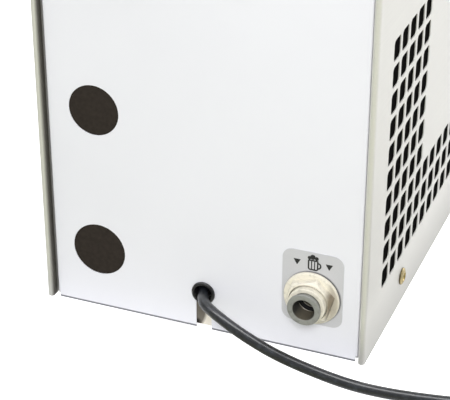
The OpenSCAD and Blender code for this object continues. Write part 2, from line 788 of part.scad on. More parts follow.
// Lead inside the casing, from the grommet up to the switch
lead_in = 13;
lead_end = 12;
switch_low = control_z - switch_h / 2;
lead_rise = switch_low - lead_end - cable_z;
function lead_at(side, inward, z) = [side * lead_in - cable_x, panel_y - inward * lead_in, cable_z + z];
lead_path = smooth([
    cord_path[0], 1.7 * cord_path[0] - 0.7 * cord_path[1],
    lead_at(0.3, 0.58, 0.2 * lead_in), lead_at(0.35, 0.96, 0.7 * lead_in),
    lead_at(0.15, 1.1, 0.18 * lead_rise), lead_at(-0.4, 0.92, 0.41 * lead_rise),
    lead_at(-0.85, 0.92, 0.7 * lead_rise), [-switch_x, panel_y - lead_in, switch_low - lead_end],
    [-switch_x, panel_y - lead_in, switch_low]
], 3);
module inner_lead() color(black) tube(lead_path, cord_r, 8);

// Compressor: a sealed shell on rubber mounts
compressor_lift = 16;
compressor_low = base_top + compressor_lift;
compressor_round = 22;
seam_proud = 2.5;
seam_r = compressor_r + seam_proud;
seam_t = 5;
leg_t = 3;
leg_pad = 10;
leg_bar = 18;
leg_clear = 2;
mount_r = 8;
mount_h = compressor_lift - leg_clear;
module at_compressor() translate([compressor_x, compressor_y, compressor_low]) children();
module at_mounts()
    for (x = [-1, 1], y = [-1, 1])
        translate([compressor_x + x * leg_x, compressor_y + y * leg_y, base_top]) children();

module compressor_shell() color(black) difference() {
    union() {
        at_compressor() {
            rotate_extrude() intersection() {
                translate([0, compressor_h / 2])
                    rounded_square(2 * compressor_r, compressor_h, compressor_round);
                square([compressor_r + cut, compressor_h]);
            }
            up(compressor_h / 2) cylinder(r = seam_r, h = seam_t);
        }
        for (s = [-1, 1])
            translate([compressor_x, compressor_y + s * leg_y, base_top + mount_h])
                block([-leg_x - leg_pad, -leg_pad, 0], [leg_x + leg_pad, leg_pad, leg_t]);
        translate([compressor_x, compressor_y, base_top + mount_h])
            block([-leg_bar, -leg_y, 0], [leg_bar, leg_y, leg_t]);
    }
    at_mounts() up(mount_h - cut) cylinder(r = stud_r + gap, h = leg_t + 2 * cut);
}

module compressor_mounts() color("#2a2a2c") at_mounts() difference() {
    cylinder(r = mount_r, h = mount_h);
    up(-cut) cylinder(r = stud_r + gap, h = mount_h + 2 * cut);
}

bolt_head_h = 3;
bolt_af = 10;
stud_past = 2;
module compressor_bolts() color(zinc) at_mounts() {
    up(mount_h + leg_t) hex_prism(bolt_af, bolt_head_h);
    up(-base_t - stud_past)
        cylinder(r = stud_r, h = base_t + stud_past + mount_h + leg_t);
}

cover_w = 52;
cover_d = 16;
cover_h = 48;
cover_low = 12;
cover_wrap = 8;
module compressor_cover() color("#26272a") at_compressor() difference() {
    block([-cover_w / 2, -compressor_r - cover_d, cover_low],
        [cover_w / 2, -compressor_r + cover_wrap, cover_low + cover_h]);
    up(-cut) cylinder(r = compressor_r + fit, h = compressor_h);
}

// Condenser beside the compressor, with its fan on a sheet shroud
tube_od = 8;
stub_l = 4;
pass_step = condenser_h / condenser_passes;
bend_clear = 2;
condenser_gap = 4;
bend_reach = stub_l + pass_step / 2 + tube_od / 2 + bend_clear;
condenser_x = -side_in_x + base_t + condenser_gap;
condenser_rear_y = elbow_y - elbow_r - bend_reach - gap;
condenser_low = base_top;
shroud_gap = 1;
shroud_x = condenser_x + condenser_w + shroud_gap;
drier_x = condenser_x + condenser_w / 2;
end_t = 1;
fin_t = 0.5;
fan_y = condenser_rear_y - condenser_l / 2;
fan_z = condenser_low + condenser_h / 2;
fan_wall = 2.5;
fan_screw_edge = 7.5;
fan_screw_hole_r = 2.2;
fan_bore_r = fan_size / 2 - fan_wall;
fan_screw_in = fan_size / 2 - fan_screw_edge;

function pass_z(i) = condenser_low + (i + 0.5) * pass_step;
module pass_bars(r, beyond)
    for (i = [0:condenser_passes - 1])
        bar_y([drier_x, condenser_rear_y - condenser_l - beyond, pass_z(i)], r, condenser_l + 2 * beyond);

module condenser_shroud() color(alloy) difference() {
    union() {
        block([shroud_x, condenser_rear_y - condenser_l, condenser_low],
            [shroud_x + end_t, condenser_rear_y, condenser_low + condenser_h]);
        for (y = [condenser_rear_y - condenser_l, condenser_rear_y - end_t])
            block([condenser_x, y, condenser_low], [shroud_x, y + end_t, condenser_low + condenser_h]);
    }
    bar_x([shroud_x - cut, fan_y, fan_z], fan_bore_r, end_t + 2 * cut);
    pass_bars(tube_od / 2 + fit, stub_l);
}

fin_step = condenser_l / fin_count;
fin_inset = 1;
function fin_y(i) = condenser_rear_y - condenser_l + (i + 0.5) * fin_step;
module condenser_fins() color("#17181a") difference() {
    for (i = [0:fin_count - 1])
        translate([condenser_x, fin_y(i) - fin_t / 2, condenser_low + fin_inset])
            cube([condenser_w, fin_t, condenser_h - 2 * fin_inset]);
    pass_bars(tube_od / 2 + fit, stub_l);
}

module condenser_tube() color(copper) {
    pass_bars(tube_od / 2, stub_l);
    for (i = [0:condenser_passes - 2]) {
        rear = i % 2 == 0;
        y = rear ? condenser_rear_y + stub_l : condenser_rear_y - condenser_l - stub_l;
        translate([drier_x, y, condenser_low + (i + 1) * pass_step])
            rotate([90, 0, 90]) rotate([0, 0, rear ? -90 : 90])
                rotate_extrude(angle = 180) translate([pass_step / 2, 0]) circle(tube_od / 2);
    }
}

fan_hub_r = 20;
fan_shaft_r = 2;
fan_x = shroud_x + end_t;
motor_d = 10;
strut_w = 4;
strut_in = 1;
strut_root = 2;
shaft_cap = 2;
module fan_frame() color("#222326") difference() {
    union() {
        difference() {
            translate([fan_x, fan_y - fan_size / 2, fan_z - fan_size / 2])
                cube([fan_d, fan_size, fan_size]);
            bar_x([fan_x - cut, fan_y, fan_z], fan_bore_r, fan_d + 2 * cut);
        }
        bar_x([fan_x + fan_d - motor_d, fan_y, fan_z], fan_hub_r, motor_d);
        for (a = [45:90:315])
            translate([fan_x + fan_d - strut_w - strut_in, fan_y, fan_z]) rotate([a, 0, 0])
                translate([0, -strut_w / 2, fan_hub_r / 2])
                    cube([strut_w, strut_w, fan_bore_r - fan_hub_r / 2 + strut_root]);
    }
    bar_x([fan_x, fan_y, fan_z], fan_shaft_r + fit, fan_d - shaft_cap);
    for (y = [-1, 1], z = [-1, 1])
        bar_x([fan_x - cut, fan_y + y * fan_screw_in, fan_z + z * fan_screw_in],
            fan_screw_hole_r, fan_d + 2 * cut);
}

blade_count = 7;
blade_gap = 1.5;
blade_w = 28;
blade_t = 1.6;
blade_turn = 68;
blade_root = 2;
rotor_gap = 1;
rotor_rear_gap = 2;
blade_r = fan_bore_r - blade_gap;
rotor_d = fan_d - motor_d - rotor_gap - rotor_rear_gap;
rotor_x = fan_x + rotor_gap;
module fan_rotor() color("#2c2d31") {
    bar_x([rotor_x, fan_y, fan_z], fan_hub_r, rotor_d);
    bar_x([rotor_x, fan_y, fan_z], fan_shaft_r, fan_d - 2 * shaft_cap);
    intersection() {
        for (i = [0:blade_count - 1])
            translate([rotor_x + rotor_d / 2, fan_y, fan_z]) rotate([360 * i / blade_count, 0, 0])
                rotate([0, 0, blade_turn]) translate([-blade_w / 2, -blade_t / 2, fan_hub_r - blade_root])
                    cube([blade_w, blade_t, blade_r]);
        bar_x([rotor_x, fan_y, fan_z], blade_r, rotor_d);
    }
}

// Refrigerant pipes
pipe_r = 3;
drier_r = 9;
drier_l = 80;
drier_tip = 8;
drier_taper = 8;
drier_front = 36;
drier_y = condenser_rear_y - condenser_l - drier_front;
drier_up = 30;
drier_low = base_top + drier_up;
drier_top = drier_low + drier_l;
tube_top_z = pass_z(condenser_passes - 1);
tube_low_z = pass_z(0);

drier_shoulder = drier_tip + drier_taper;
module filter_drier() color(copper) translate([drier_x, drier_y, drier_low]) rotate_extrude() polygon([
    [0, 0], [pipe_r, 0], [pipe_r, drier_tip], [drier_r, drier_shoulder], [drier_r, drier_l - drier_shoulder],
    [pipe_r, drier_l - drier_tip], [pipe_r, drier_l], [0, drier_l]
]);

// Both pipes leave the shell's top at the same distance from its axis
port_out = 20;
shell_top = compressor_low + compressor_h;
pipe_sides = 8;
pipe_steps = 4;
pipe_rise = 12;
pipe_under = 20;
discharge_x = compressor_x - port_out;
discharge_reach = 30;
discharge_top = 20;
discharge_swing = 20;
discharge_back = 16;
module discharge_pipe() color(copper) tube(smooth([
    [discharge_x, compressor_y, shell_top],
    [discharge_x, compressor_y, shell_top + pipe_rise],
    [discharge_x - 2 * pipe_rise / 3, compressor_y, shell_top + 2 * pipe_rise],
    [discharge_x - discharge_reach, condenser_rear_y + pipe_rise / 2, shell_top + discharge_top],
    [drier_x + discharge_swing, condenser_rear_y + discharge_back, tube_top_z + discharge_swing / 2],
    [drier_x + discharge_swing / 4, condenser_rear_y + 0.94 * discharge_back, tube_top_z],
    [drier_x, condenser_rear_y + 0.62 * discharge_back, tube_top_z],
    [drier_x, condenser_rear_y + stub_l, tube_top_z]
], pipe_steps), pipe_r, pipe_sides);

capillary_r = 1.2;
capillary_over = 18;
capillary_back = 2;
capillary_rise = 40;
capillary_x = drier_x + capillary_over;
capillary_y = drier_y + capillary_back;
drier_stub_y = condenser_rear_y - condenser_l;
module capillary_tube() color(copper) {
    tube(smooth([
        [drier_x, drier_y, drier_top], [drier_x, drier_y, drier_top + pipe_rise],
        [drier_x + capillary_over / 3, drier_y, drier_top + capillary_rise],
        [capillary_x - capillary_back, capillary_y, shelf_z - pipe_under],
        [capillary_x, capillary_y, foam_low + foam_floor / 5], [capillary_x, capillary_y, block_low]
    ], pipe_steps), capillary_r, pipe_sides);
    tube(smooth([
        [drier_x, drier_stub_y - stub_l, tube_low_z], [drier_x, drier_stub_y - 3.5 * stub_l, tube_low_z],
        [drier_x, drier_y + pipe_r / 3, tube_low_z + pipe_r], [drier_x, drier_y, drier_low - drier_tip / 2],
        [drier_x, drier_y, drier_low]
    ], pipe_steps), pipe_r, pipe_sides);
}

suction_x = compressor_x + port_out;
module suction_pipe() color(copper) tube(smooth([
    [suction_x, compressor_y, shell_top], [suction_x, compressor_y, shell_top + pipe_rise],
    [suction_x, compressor_y, shelf_z - pipe_under], [suction_x, compressor_y, block_low]
], pipe_steps), pipe_r, pipe_sides);

// Cold block in its foam jacket on the shelf
shelf_flange = 14;
shelf_tab_x = 60;
flange_gap = 3;
jacket_x = panel_w / 2 - flange_gap;
jacket_front_y = face_in_y + gap;
jacket_rear_y = panel_in_y - gap;
pipe_hole_gap = 1;
pipe_hole_r = pipe_r + pipe_hole_gap;

module pipe_holes(z, h) {
    translate([-inlet_x, elbow_y, z]) cylinder(r = tube_r + gap, h = h);
    translate([suction_x, compressor_y, z]) cylinder(r = pipe_hole_r, h = h);
    translate([capillary_x, capillary_y, z]) cylinder(r = pipe_hole_r, h = h);
}

module block_shelf() color(alloy) difference() {
    union() {
        block([-jacket_x, face_in_y, shelf_z], [jacket_x, panel_in_y, shelf_z + shelf_t]);
        for (y = [face_in_y, panel_in_y - shelf_t])
            block([-shelf_tab_x, y, shelf_z - shelf_flange], [shelf_tab_x, y + shelf_t, shelf_z]);
    }
    pipe_holes(shelf_z - cut, shelf_t + 2 * cut);
    block([-switch_x - switch_w, panel_in_y - 3 * shelf_t, shelf_z - shelf_flange - cut],
        [panel_w, panel_in_y + cut, shelf_z - gap]);
}

shank_in_block = 14;
module cold_block() color(alloy) difference() {
    block([-block_w / 2, block_front_y, block_low], [block_w / 2, block_rear_y, block_low + block_h]);
    translate([-inlet_x, elbow_y, block_low - cut]) cylinder(r = socket_r, h = line_in_block + cut);
    bar_y([0, block_front_y - cut, tap_z], shank_r + fit, shank_in_block + cut);
}

// Beer coil: up from the line, a quarter bend, then passes to and fro to the shank
coil_tube_r = 4;
coil_passes = 4;
beer_step = inlet_x / coil_passes;
beer_bend_r = 10;
beer_front = 34;
beer_front_y = block_front_y + beer_front;
beer_rear_y = elbow_y - beer_bend_r;
beer_riser_low = block_low + line_in_block;
shank_end_y = block_front_y + shank_in_block;
module beer_bend(r, angle) rotate_extrude(angle = angle) translate([r, 0]) circle(coil_tube_r);
module beer_coil() color("#d5d8da") {
    translate([-inlet_x, elbow_y, beer_riser_low])
        cylinder(r = coil_tube_r, h = tap_z - beer_bend_r - beer_riser_low);
    translate([-inlet_x, beer_rear_y, tap_z - beer_bend_r]) rotate([90, 0, 90]) beer_bend(beer_bend_r, 90);
    for (i = [0:coil_passes - 1])
        bar_y([-inlet_x + i * beer_step, beer_front_y, tap_z], coil_tube_r, beer_rear_y - beer_front_y);
    for (i = [0:coil_passes - 1])
        translate([-inlet_x + (i + 0.5) * beer_step, i % 2 == 0 ? beer_front_y : beer_rear_y, tap_z])
            rotate(i % 2 == 0 ? 180 : 0) beer_bend(beer_step / 2, 180);
    bar_y([0, shank_end_y, tap_z], coil_tube_r, beer_rear_y - shank_end_y);
}

foam_split = tap_z;
jacket_top = block_low + block_h + foam_roof;
module jacket_half(low, high) difference() {
    block([-jacket_x, jacket_front_y, low], [jacket_x, jacket_rear_y, high]);
    block([-block_w / 2 - gap, block_front_y - gap, block_low],
        [block_w / 2 + gap, block_rear_y + gap, block_low + block_h + gap]);
    bar_y([0, jacket_front_y - cut, tap_z], shank_r + gap, block_front_y - jacket_front_y + cut);
    pipe_holes(foam_low - cut, foam_floor + 2 * cut);
}
module foam_tub() color(foam) jacket_half(foam_low, foam_split);
module foam_lid() color("#45474b") jacket_half(foam_split, jacket_top);

// Tap
flange_t = 6;
flange_r = 21;
nut_room = 12;
tap_nose = 12;
tap_rear_y = face_y - flange_t - nut_room;
spout_y = face_y - spout_reach;
tap_front_y = spout_y - tap_nose;
tap_bore_r = 7;
shank_l = block_front_y + shank_in_block - tap_rear_y;

module tap_shank() color(chrome) difference() {
    union() {
        bar_y([0, tap_rear_y, tap_z], shank_r, shank_l);
        bar_y([0, face_y - flange_t, tap_z], flange_r, flange_t);
    }
    bar_y([0, tap_rear_y - cut, tap_z], coil_tube_r, shank_l + 2 * cut);
}

nut_l = 10;
nut_af = 30;
module shank_nut() color(chrome) translate([0, face_y - flange_t, tap_z]) rotate([90, 0, 0]) difference() {
    hex_prism(nut_af, nut_l);
    up(-cut) cylinder(r = shank_r + fit, h = nut_l + 2 * cut);
}

// The body: a barrel along Y, a neck on top for the handle and the spout below
neck_r = 11;
neck_h = 24;
neck_bore_r = 7.5;
pivot_up = 17;
pivot_z = tap_z + pivot_up;
spout_collar = 22;
spout_wall = 1.8;
flow_r = 3;
flow_seat_r = 7;
flow_seat_x = tap_r + 2;
flow_in = 16;
flow_y = tap_rear_y - flow_in;
tap_wall = 2;
seat_l = 10;
chamber_l = tap_rear_y - tap_front_y - tap_wall - seat_l;

module tap_body() color(chrome) difference() {
    union() {
        bar_y([0, tap_front_y, tap_z], tap_r, tap_rear_y - tap_front_y);
        translate([0, spout_y, tap_z]) cylinder(r = neck_r, h = neck_h);
        bar_down([0, spout_y, tap_z], neck_r, spout_collar);
        bar_down([0, spout_y, tap_z], spout_r, spout_drop);
        bar_x([0, flow_y, tap_z], flow_seat_r, flow_seat_x);
    }
    bar_y([0, tap_front_y + tap_wall, tap_z], tap_bore_r, chamber_l);
    bar_y([0, spout_y, tap_z], coil_tube_r, tap_rear_y - spout_y + cut);
    bar_x([-neck_r - cut, spout_y, pivot_z], pivot_pin_r + fit, 2 * neck_r + 2 * cut);
    translate([0, spout_y, tap_z]) cylinder(r = neck_bore_r, h = neck_h + cut);
    bar_down([0, spout_y, tap_z], spout_r - spout_wall, spout_drop + cut);
    bar_x([0, flow_y, tap_z], flow_r + fit, flow_seat_x + cut);
}

// Valve stem: a piston in the barrel, moved by the tip of the handle's finger
stem_r = tap_bore_r - gap;
finger_r = 1.6;
finger_tip_r = 2.8;
finger_play = 0.7;
stem_slot = finger_tip_r + finger_play;
stem_flat = 3.5;
stem_front = 6.5;
stem_l = 24;
module valve_stem() color("#b9bcc0") difference() {
    bar_y([0, spout_y - stem_front, tap_z], stem_r, stem_l);
    block([-stem_slot, spout_y - stem_slot, tap_z - stem_slot - gap],
        [stem_slot, spout_y + stem_slot, tap_z + stem_r]);
    block([-stem_r, spout_y - stem_front - cut, tap_z + stem_flat],
        [stem_r, spout_y + stem_front, tap_z + stem_r]);
}

bonnet_r = 13.5;
bonnet_gap = 1;
bonnet_taper = 1;
bonnet_low = tap_z + tap_r + bonnet_gap;
bonnet_h = 15;
slot_half = 4.4;
bonnet_floor = tap_z + neck_h;
module tap_bonnet() color(chrome) difference() {
    translate([0, spout_y, bonnet_low]) cylinder(r1 = bonnet_r, r2 = bonnet_r - bonnet_taper, h = bonnet_h);
    translate([0, spout_y, bonnet_low - cut])
        cylinder(r = neck_r + fit, h = bonnet_floor - bonnet_low + cut);
    translate([0, spout_y, bonnet_low]) cylinder(r = neck_bore_r, h = bonnet_h + cut);
    block([-slot_half, spout_y - bonnet_r - cut, bonnet_floor + gap],
        [slot_half, spout_y + bonnet_r + cut, bonnet_low + bonnet_h + cut]);
}

pivot_pin_r = 1.6;
pivot_pin_half = neck_r - gap;
module tap_pivot_pin() color("#aeb2b6")
    bar_x([-pivot_pin_half, spout_y, pivot_z], pivot_pin_r, 2 * pivot_pin_half);

// Handle: finger below the pivot, rod and ferrule above it
ball_r = 5;
rod_r = 3.6;
rod_up = 46;
rod_in_grip = 20;
rod_top = tap_z + rod_up;
ferrule_h = 9;
ferrule_low_r = 6;
ferrule_r = 9;
module tap_handle() color(chrome) difference() {
    union() {
        translate([0, spout_y, pivot_z]) sphere(ball_r);
        bar_down([0, spout_y, pivot_z], finger_r, pivot_up);
        translate([0, spout_y, tap_z]) sphere(finger_tip_r);
        translate([0, spout_y, pivot_z]) cylinder(r = rod_r, h = rod_top + rod_in_grip - pivot_z);
        translate([0, spout_y, rod_top - ferrule_h])
            cylinder(r1 = ferrule_low_r, r2 = ferrule_r, h = ferrule_h);
    }
    bar_x([-2 * ball_r, spout_y, pivot_z], pivot_pin_r + fit, 4 * ball_r);
}

grip_foot_r = 9.5;
grip_waist_r = 8.5;
grip_waist_z = 26;
module tap_grip() color(black) translate([0, spout_y, rod_top]) difference() {
    rotate_extrude() polygon([
        [0, 0], [grip_foot_r - 1, 0], [grip_foot_r, 2], [grip_waist_r, grip_waist_z],
        [grip_r - 1, grip_l - 22], [grip_r, grip_l - 12], [grip_r - 2, grip_l - 3.4], [grip_r - 6, grip_l],
        [0, grip_l]
    ]);
    up(-cut) cylinder(r = rod_r + fit, h = rod_in_grip + cut);
}

// Flow lever on the tap's side
flow_arm_l = 34;
flow_arm_root = 5;
flow_arm_r = 2.6;
flow_tip_r = 2;
flow_knob_r = 4;
flow_boss_r = 6.5;
flow_boss_l = 7;
flow_stem_x = tap_bore_r + 1;
flow_boss_x = flow_seat_x + gap;
module flow_lever() color(chrome) {
    bar_x([flow_stem_x, flow_y, tap_z], flow_r, flow_boss_x - flow_stem_x);
    bar_x([flow_boss_x, flow_y, tap_z], flow_boss_r, flow_boss_l);
    translate([flow_boss_x + flow_boss_l / 2, flow_y, tap_z + flow_arm_root]) {
        cylinder(r1 = flow_arm_r, r2 = flow_tip_r, h = flow_arm_l);
        up(flow_arm_l) sphere(flow_knob_r);
    }
}

// Drip tray and grid
tray_front_y = front_y - tray_reach;
tray_rear_y = front_y - gap;
tray_mid_y = (tray_front_y + tray_rear_y) / 2;
tray_l = tray_rear_y - tray_front_y;
ledge = 4;
grid_t = 1.5;
grid_top = tray_h - grid_drop;

module tray_outline(inset) translate([0, tray_mid_y])
    rounded_square(tray_w - 2 * inset, tray_l - 2 * inset, tray_r - inset);

ledge_t = 2;
module drip_tray() color(steel) {
    difference() {
        linear_extrude(tray_h) tray_outline(0);
        up(tray_wall) linear_extrude(tray_h) tray_outline(tray_wall);
        for (s = [-1, 1])
            bar_y([s * tray_pin_x, tray_rear_y - tray_pin_l, tray_pin_z],
                tray_pin_r + gap, tray_pin_l + cut);
    }
    up(grid_top - grid_t - ledge_t) linear_extrude(ledge_t) difference() {
        tray_outline(tray_wall / 2);
        tray_outline(tray_wall + ledge);
    }
}

slot_count = 13;
slot_l = 52;
slot_pitch = 10.5;
grid_slot_w = 5;
slot_web = 12;
module drip_grid() color(chrome) up(grid_top - grid_t) linear_extrude(grid_t) difference() {
    tray_outline(tray_wall + gap);
    for (i = [0:slot_count - 1], s = [-1, 1])
        translate([(i - (slot_count - 1) / 2) * slot_pitch, tray_mid_y + s * (slot_l + slot_web) / 2])
            rounded_square(grid_slot_w, slot_l, grid_slot_w / 2 - fit);
}

base_plate();
rear_panel();
front_panel();
left_side_panel();
right_side_panel();
top_panel();
side_screws();
top_screws();
rubber_feet();
foot_screws();
foot_nuts();
inlet_label();
inlet_body();
inlet_nut();
inlet_collet();
inlet_o_ring();
inlet_elbow();
beer_line();
cable_grommet();
mains_cord();
mains_cord_coil();
mains_cord_tail();
coil_tie();
plug_body();
plug_pins();
inner_lead();
power_switch_body();
power_switch_rocker();
thermostat_body();
thermostat_dial();
thermostat_knob();
compressor_shell();
compressor_cover();
compressor_mounts();
compressor_bolts();
condenser_shroud();
condenser_fins();
condenser_tube();
fan_frame();
fan_rotor();
filter_drier();
discharge_pipe();
capillary_tube();
suction_pipe();
block_shelf();
cold_block();
beer_coil();
foam_tub();
foam_lid();
tap_shank();
shank_nut();
tap_body();
valve_stem();
tap_bonnet();
tap_pivot_pin();
tap_handle();
tap_grip();
flow_lever();
drip_tray();
drip_grid();
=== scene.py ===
"""Draft beer dispenser: the finish of every piece, the mains lead, the small fittings and the studio.

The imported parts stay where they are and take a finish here. Those whose real shape is softer or finer
than their solid are worked out as surfaces. Lengths are metres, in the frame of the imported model.
"""
import json
import math

import bmesh
import bpy
import numpy as np
from bpy.props import FloatProperty, FloatVectorProperty, PointerProperty
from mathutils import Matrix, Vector

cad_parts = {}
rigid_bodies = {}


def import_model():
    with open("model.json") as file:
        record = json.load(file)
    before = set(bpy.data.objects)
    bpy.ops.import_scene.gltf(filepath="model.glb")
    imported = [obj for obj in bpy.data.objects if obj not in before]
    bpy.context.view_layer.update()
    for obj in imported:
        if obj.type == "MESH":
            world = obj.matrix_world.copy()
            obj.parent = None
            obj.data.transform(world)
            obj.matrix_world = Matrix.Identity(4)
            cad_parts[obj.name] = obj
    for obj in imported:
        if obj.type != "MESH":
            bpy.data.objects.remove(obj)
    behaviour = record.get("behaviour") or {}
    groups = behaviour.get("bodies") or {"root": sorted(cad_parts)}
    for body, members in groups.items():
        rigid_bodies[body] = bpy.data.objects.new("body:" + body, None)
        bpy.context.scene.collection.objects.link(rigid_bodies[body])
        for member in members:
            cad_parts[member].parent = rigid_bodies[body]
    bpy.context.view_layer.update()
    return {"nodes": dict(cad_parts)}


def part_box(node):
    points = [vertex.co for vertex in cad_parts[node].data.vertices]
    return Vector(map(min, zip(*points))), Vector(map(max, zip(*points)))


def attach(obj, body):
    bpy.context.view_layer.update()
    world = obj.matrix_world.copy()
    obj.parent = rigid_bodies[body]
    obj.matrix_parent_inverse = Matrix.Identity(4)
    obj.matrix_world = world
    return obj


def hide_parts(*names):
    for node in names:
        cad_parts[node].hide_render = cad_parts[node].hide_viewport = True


bl_info = {
    "name": "Draft beer dispenser",
    "version": (1, 0, 0),
    "blender": (4, 5, 0),
    "location": "View3D > Sidebar > Dispenser",
    "description": "Finishes, mains lead, fittings and studio for a countertop beer dispenser",
    "category": "Object",
}

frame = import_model()
NODES = frame["nodes"]
MM = 0.001


def middle_of(node):
    """The middle of a node's box."""
    return sum(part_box(node), Vector()) / 2


# Planes and axes read from the frame
PANEL_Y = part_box("rear_panel")[1].y
PANEL_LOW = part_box("rear_panel")[0].z
INLET = middle_of("inlet_nut")
GROMMET = middle_of("cable_grommet")
DIAL = middle_of("thermostat_dial")
DIAL_FACE_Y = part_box("thermostat_dial")[1].y
KNOB_FACE_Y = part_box("thermostat_knob")[1].y
SWITCH = middle_of("power_switch_rocker")
SPOUT = middle_of("tap_grip")
SEAM_SIDE = max(("left_side_panel", "right_side_panel"), key=lambda node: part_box(node)[0].x)
SIDE_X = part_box(SEAM_SIDE)[1].x
SIDE_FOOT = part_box(SEAM_SIDE)[0].z
# Inner edge of the side's rear hem, where it meets the rear panel
SEAM_X = SIDE_X - 3.8 * MM

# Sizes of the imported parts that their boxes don't tell
SHEET = 0.6 * MM
PORT_X = 63.5 * MM
# Height and radius of the two round ports
PORTS = ((43.5 * MM, 16 * MM), (131 * MM, 14.9 * MM))
# The vented part of the sides: its ends as depths from the rear panel, its lowest and highest edge
VENT_DEPTHS = (266 * MM, 20 * MM)
VENT_HEIGHTS = (33 * MM, 194 * MM)
TUBE_HOLE = 6.2 * MM
NUT_BORE = 10.65 * MM


# Settings

def colour_setting(name, description, default):
    return FloatVectorProperty(
        name=name, description=description, subtype="COLOR", size=3, default=default, min=0, max=1)


def length_setting(name, description, default, low, high):
    return FloatProperty(
        name=name, description=description, unit="LENGTH", default=default, min=low, max=high)


def light_setting(name, description, default):
    return FloatProperty(name=name, description=description, default=default, min=0, max=5)


class CasingSettings(bpy.types.PropertyGroup):
    """Sheet metal and its fasteners."""
    coat_colour: colour_setting("Powder coat", "Colour of the rear panel", (0.80, 0.803, 0.858))
    steel_colour: colour_setting("Satin steel", "Colour of the side and front sheets", (0.775, 0.765, 0.73))
    edge_round: length_setting(
        "Edge round", "Radius worn on the sheet's cut edges", 0.25 * MM, 0.05 * MM, 0.45 * MM)
    # Height of a grey band along the rear panel's foot
    bare_edge: length_setting(
        "Bare edge", "Height of the uncoated cut edge along the rear panel's foot", 1.2 * MM, 0, 3 * MM)
    screw_dome: length_setting("Screw dome", "Height of a screw head", 1.8 * MM, 1 * MM, 4 * MM)


class LeadSettings(bpy.types.PropertyGroup):
    """Mains lead."""
    diameter: length_setting("Diameter", "Diameter of the sheath", 6.2 * MM, 4 * MM, 8 * MM)
    length: length_setting("Length", "Length from the grommet to the plug", 1.82, 0.5, 3)
    sheath_colour: colour_setting("Sheath", "Colour of the sheath", (0.010, 0.011, 0.014))


class FittingSettings(bpy.types.PropertyGroup):
    """Beer inlet and its label."""
    ivory: colour_setting("Ivory", "Colour of the inlet's moulding", (0.81, 0.765, 0.655))
    collet_grey: colour_setting("Collet", "Colour of the release collet", (0.262, 0.265, 0.248))
    label_grey: colour_setting("Label", "Colour of the label film", (0.615, 0.615, 0.65))
    sign_height: length_setting(
        "Sign height", "Height of the mug sign on the label", 8.6 * MM, 3 * MM, 11 * MM)


class StudioSettings(bpy.types.PropertyGroup):
    """Camera, floor and lights."""
    lens: FloatProperty(
        name="Lens", description="Focal length for a 36 mm wide image, in millimetres",
        default=128.162, min=20, max=300)
    eye: FloatVectorProperty(
        name="Eye", description="Place of the camera", subtype="TRANSLATION", size=3,
        default=(-0.29446, 0.91585, 0.50889))
    gaze: FloatVectorProperty(
        name="Gaze", description="Direction of view", subtype="DIRECTION", size=3,
        default=(0.32585, -0.81213, -0.484))
    fill: light_setting("Fill", "Strength of the even light from all round", 0.65)
    sky: light_setting("Sky", "Strength of what is reflected from straight above", 0.60)
    horizon: light_setting("Horizon", "Strength of what is reflected from the side", 0.40)
    floor_glow: light_setting("Floor glow", "Light that the white floor gives back", 0.20)


# Surfaces

def unit(vectors):
    """Vectors made one long."""
    return vectors / np.linalg.norm(vectors, axis=-1, keepdims=True)


def rounded(corners, radii, steps=5):
    """A polyline whose inner corners are arcs: each starts and ends r tan(turn / 2) away from its corner."""
    p = np.asarray(corners, float)
    line = [p[:1]]
    for before, corner, after, r in zip(p[:-2], p[1:-1], p[2:], radii):
        a, b = unit(before - corner), unit(after - corner)
        half = math.acos(np.clip(a @ b, -1, 1)) / 2
        if r <= 0 or half > 1.55:
            line.append(corner[None])
            continue
        middle = corner + unit(a + b) * r / math.sin(half)
        start, end = [corner + way * r / math.tan(half) - middle for way in (a, b)]
        t = np.linspace(0, 1, steps + 1)[:, None]
        turn = math.pi - 2 * half
        arc = (np.sin((1 - t) * turn) * start + np.sin(t * turn) * end) / math.sin(turn)
        line.append(middle + arc)
    line.append(p[-1:])
    return np.concatenate(line)


def rounded_box(low, high, radii, steps=5):
    """Outline of a rectangle with round corners, from the middle of its lower edge."""
    (x0, y0), (x1, y1) = low, high
    start = ((x0 + x1) / 2, y0)
    corners = [start, (x1, y0), (x1, y1), (x0, y1), (x0, y0), start]
    return rounded(corners, np.broadcast_to(radii, 4), steps)[:-1]


def lathe(profile, turns=72):
    """Surface of revolution about Z: (r cos a, r sin a, z) for each profile point (r, z) and angle a."""
    a = np.linspace(0, 2 * math.pi, turns, endpoint=False)
    r, z = np.asarray(profile, float).T
    return np.stack([np.outer(r, np.cos(a)), np.outer(r, np.sin(a)), np.outer(z, np.ones(turns))], -1)


# Axes, as rows, that turn a shape's +Z to +Y, to -Y, and to +X or -X
TO_BACK = np.array([[1, 0, 0], [0, 0, -1], [0, 1, 0]])
TO_FRONT = np.array([[1, 0, 0], [0, 0, 1], [0, -1, 0]])
TO_SIDE = {sign: np.array([[0, sign, 0], [0, 0, 1], [sign, 0, 0]]) for sign in (1, -1)}
# Axes that turn a shape drawn flat, with its height along Z, to face +Y and read the right way from behind
FROM_BEHIND = np.array([[-1, 0, 0], [0, 0, 1], [0, 1, 0]])


def grid_faces(rows, columns, wrap_rows=False):
    """Quads between neighbouring points of a grid: its columns close on themselves, its rows where asked."""
    index = np.arange(rows * columns).reshape(rows, columns)
    beside = np.roll(index, -1, 1)
    quads = np.stack([index, beside, np.roll(beside, -1, 0), np.roll(index, -1, 0)], -1)
    return (quads if wrap_rows else quads[:-1]).reshape(-1, 4)


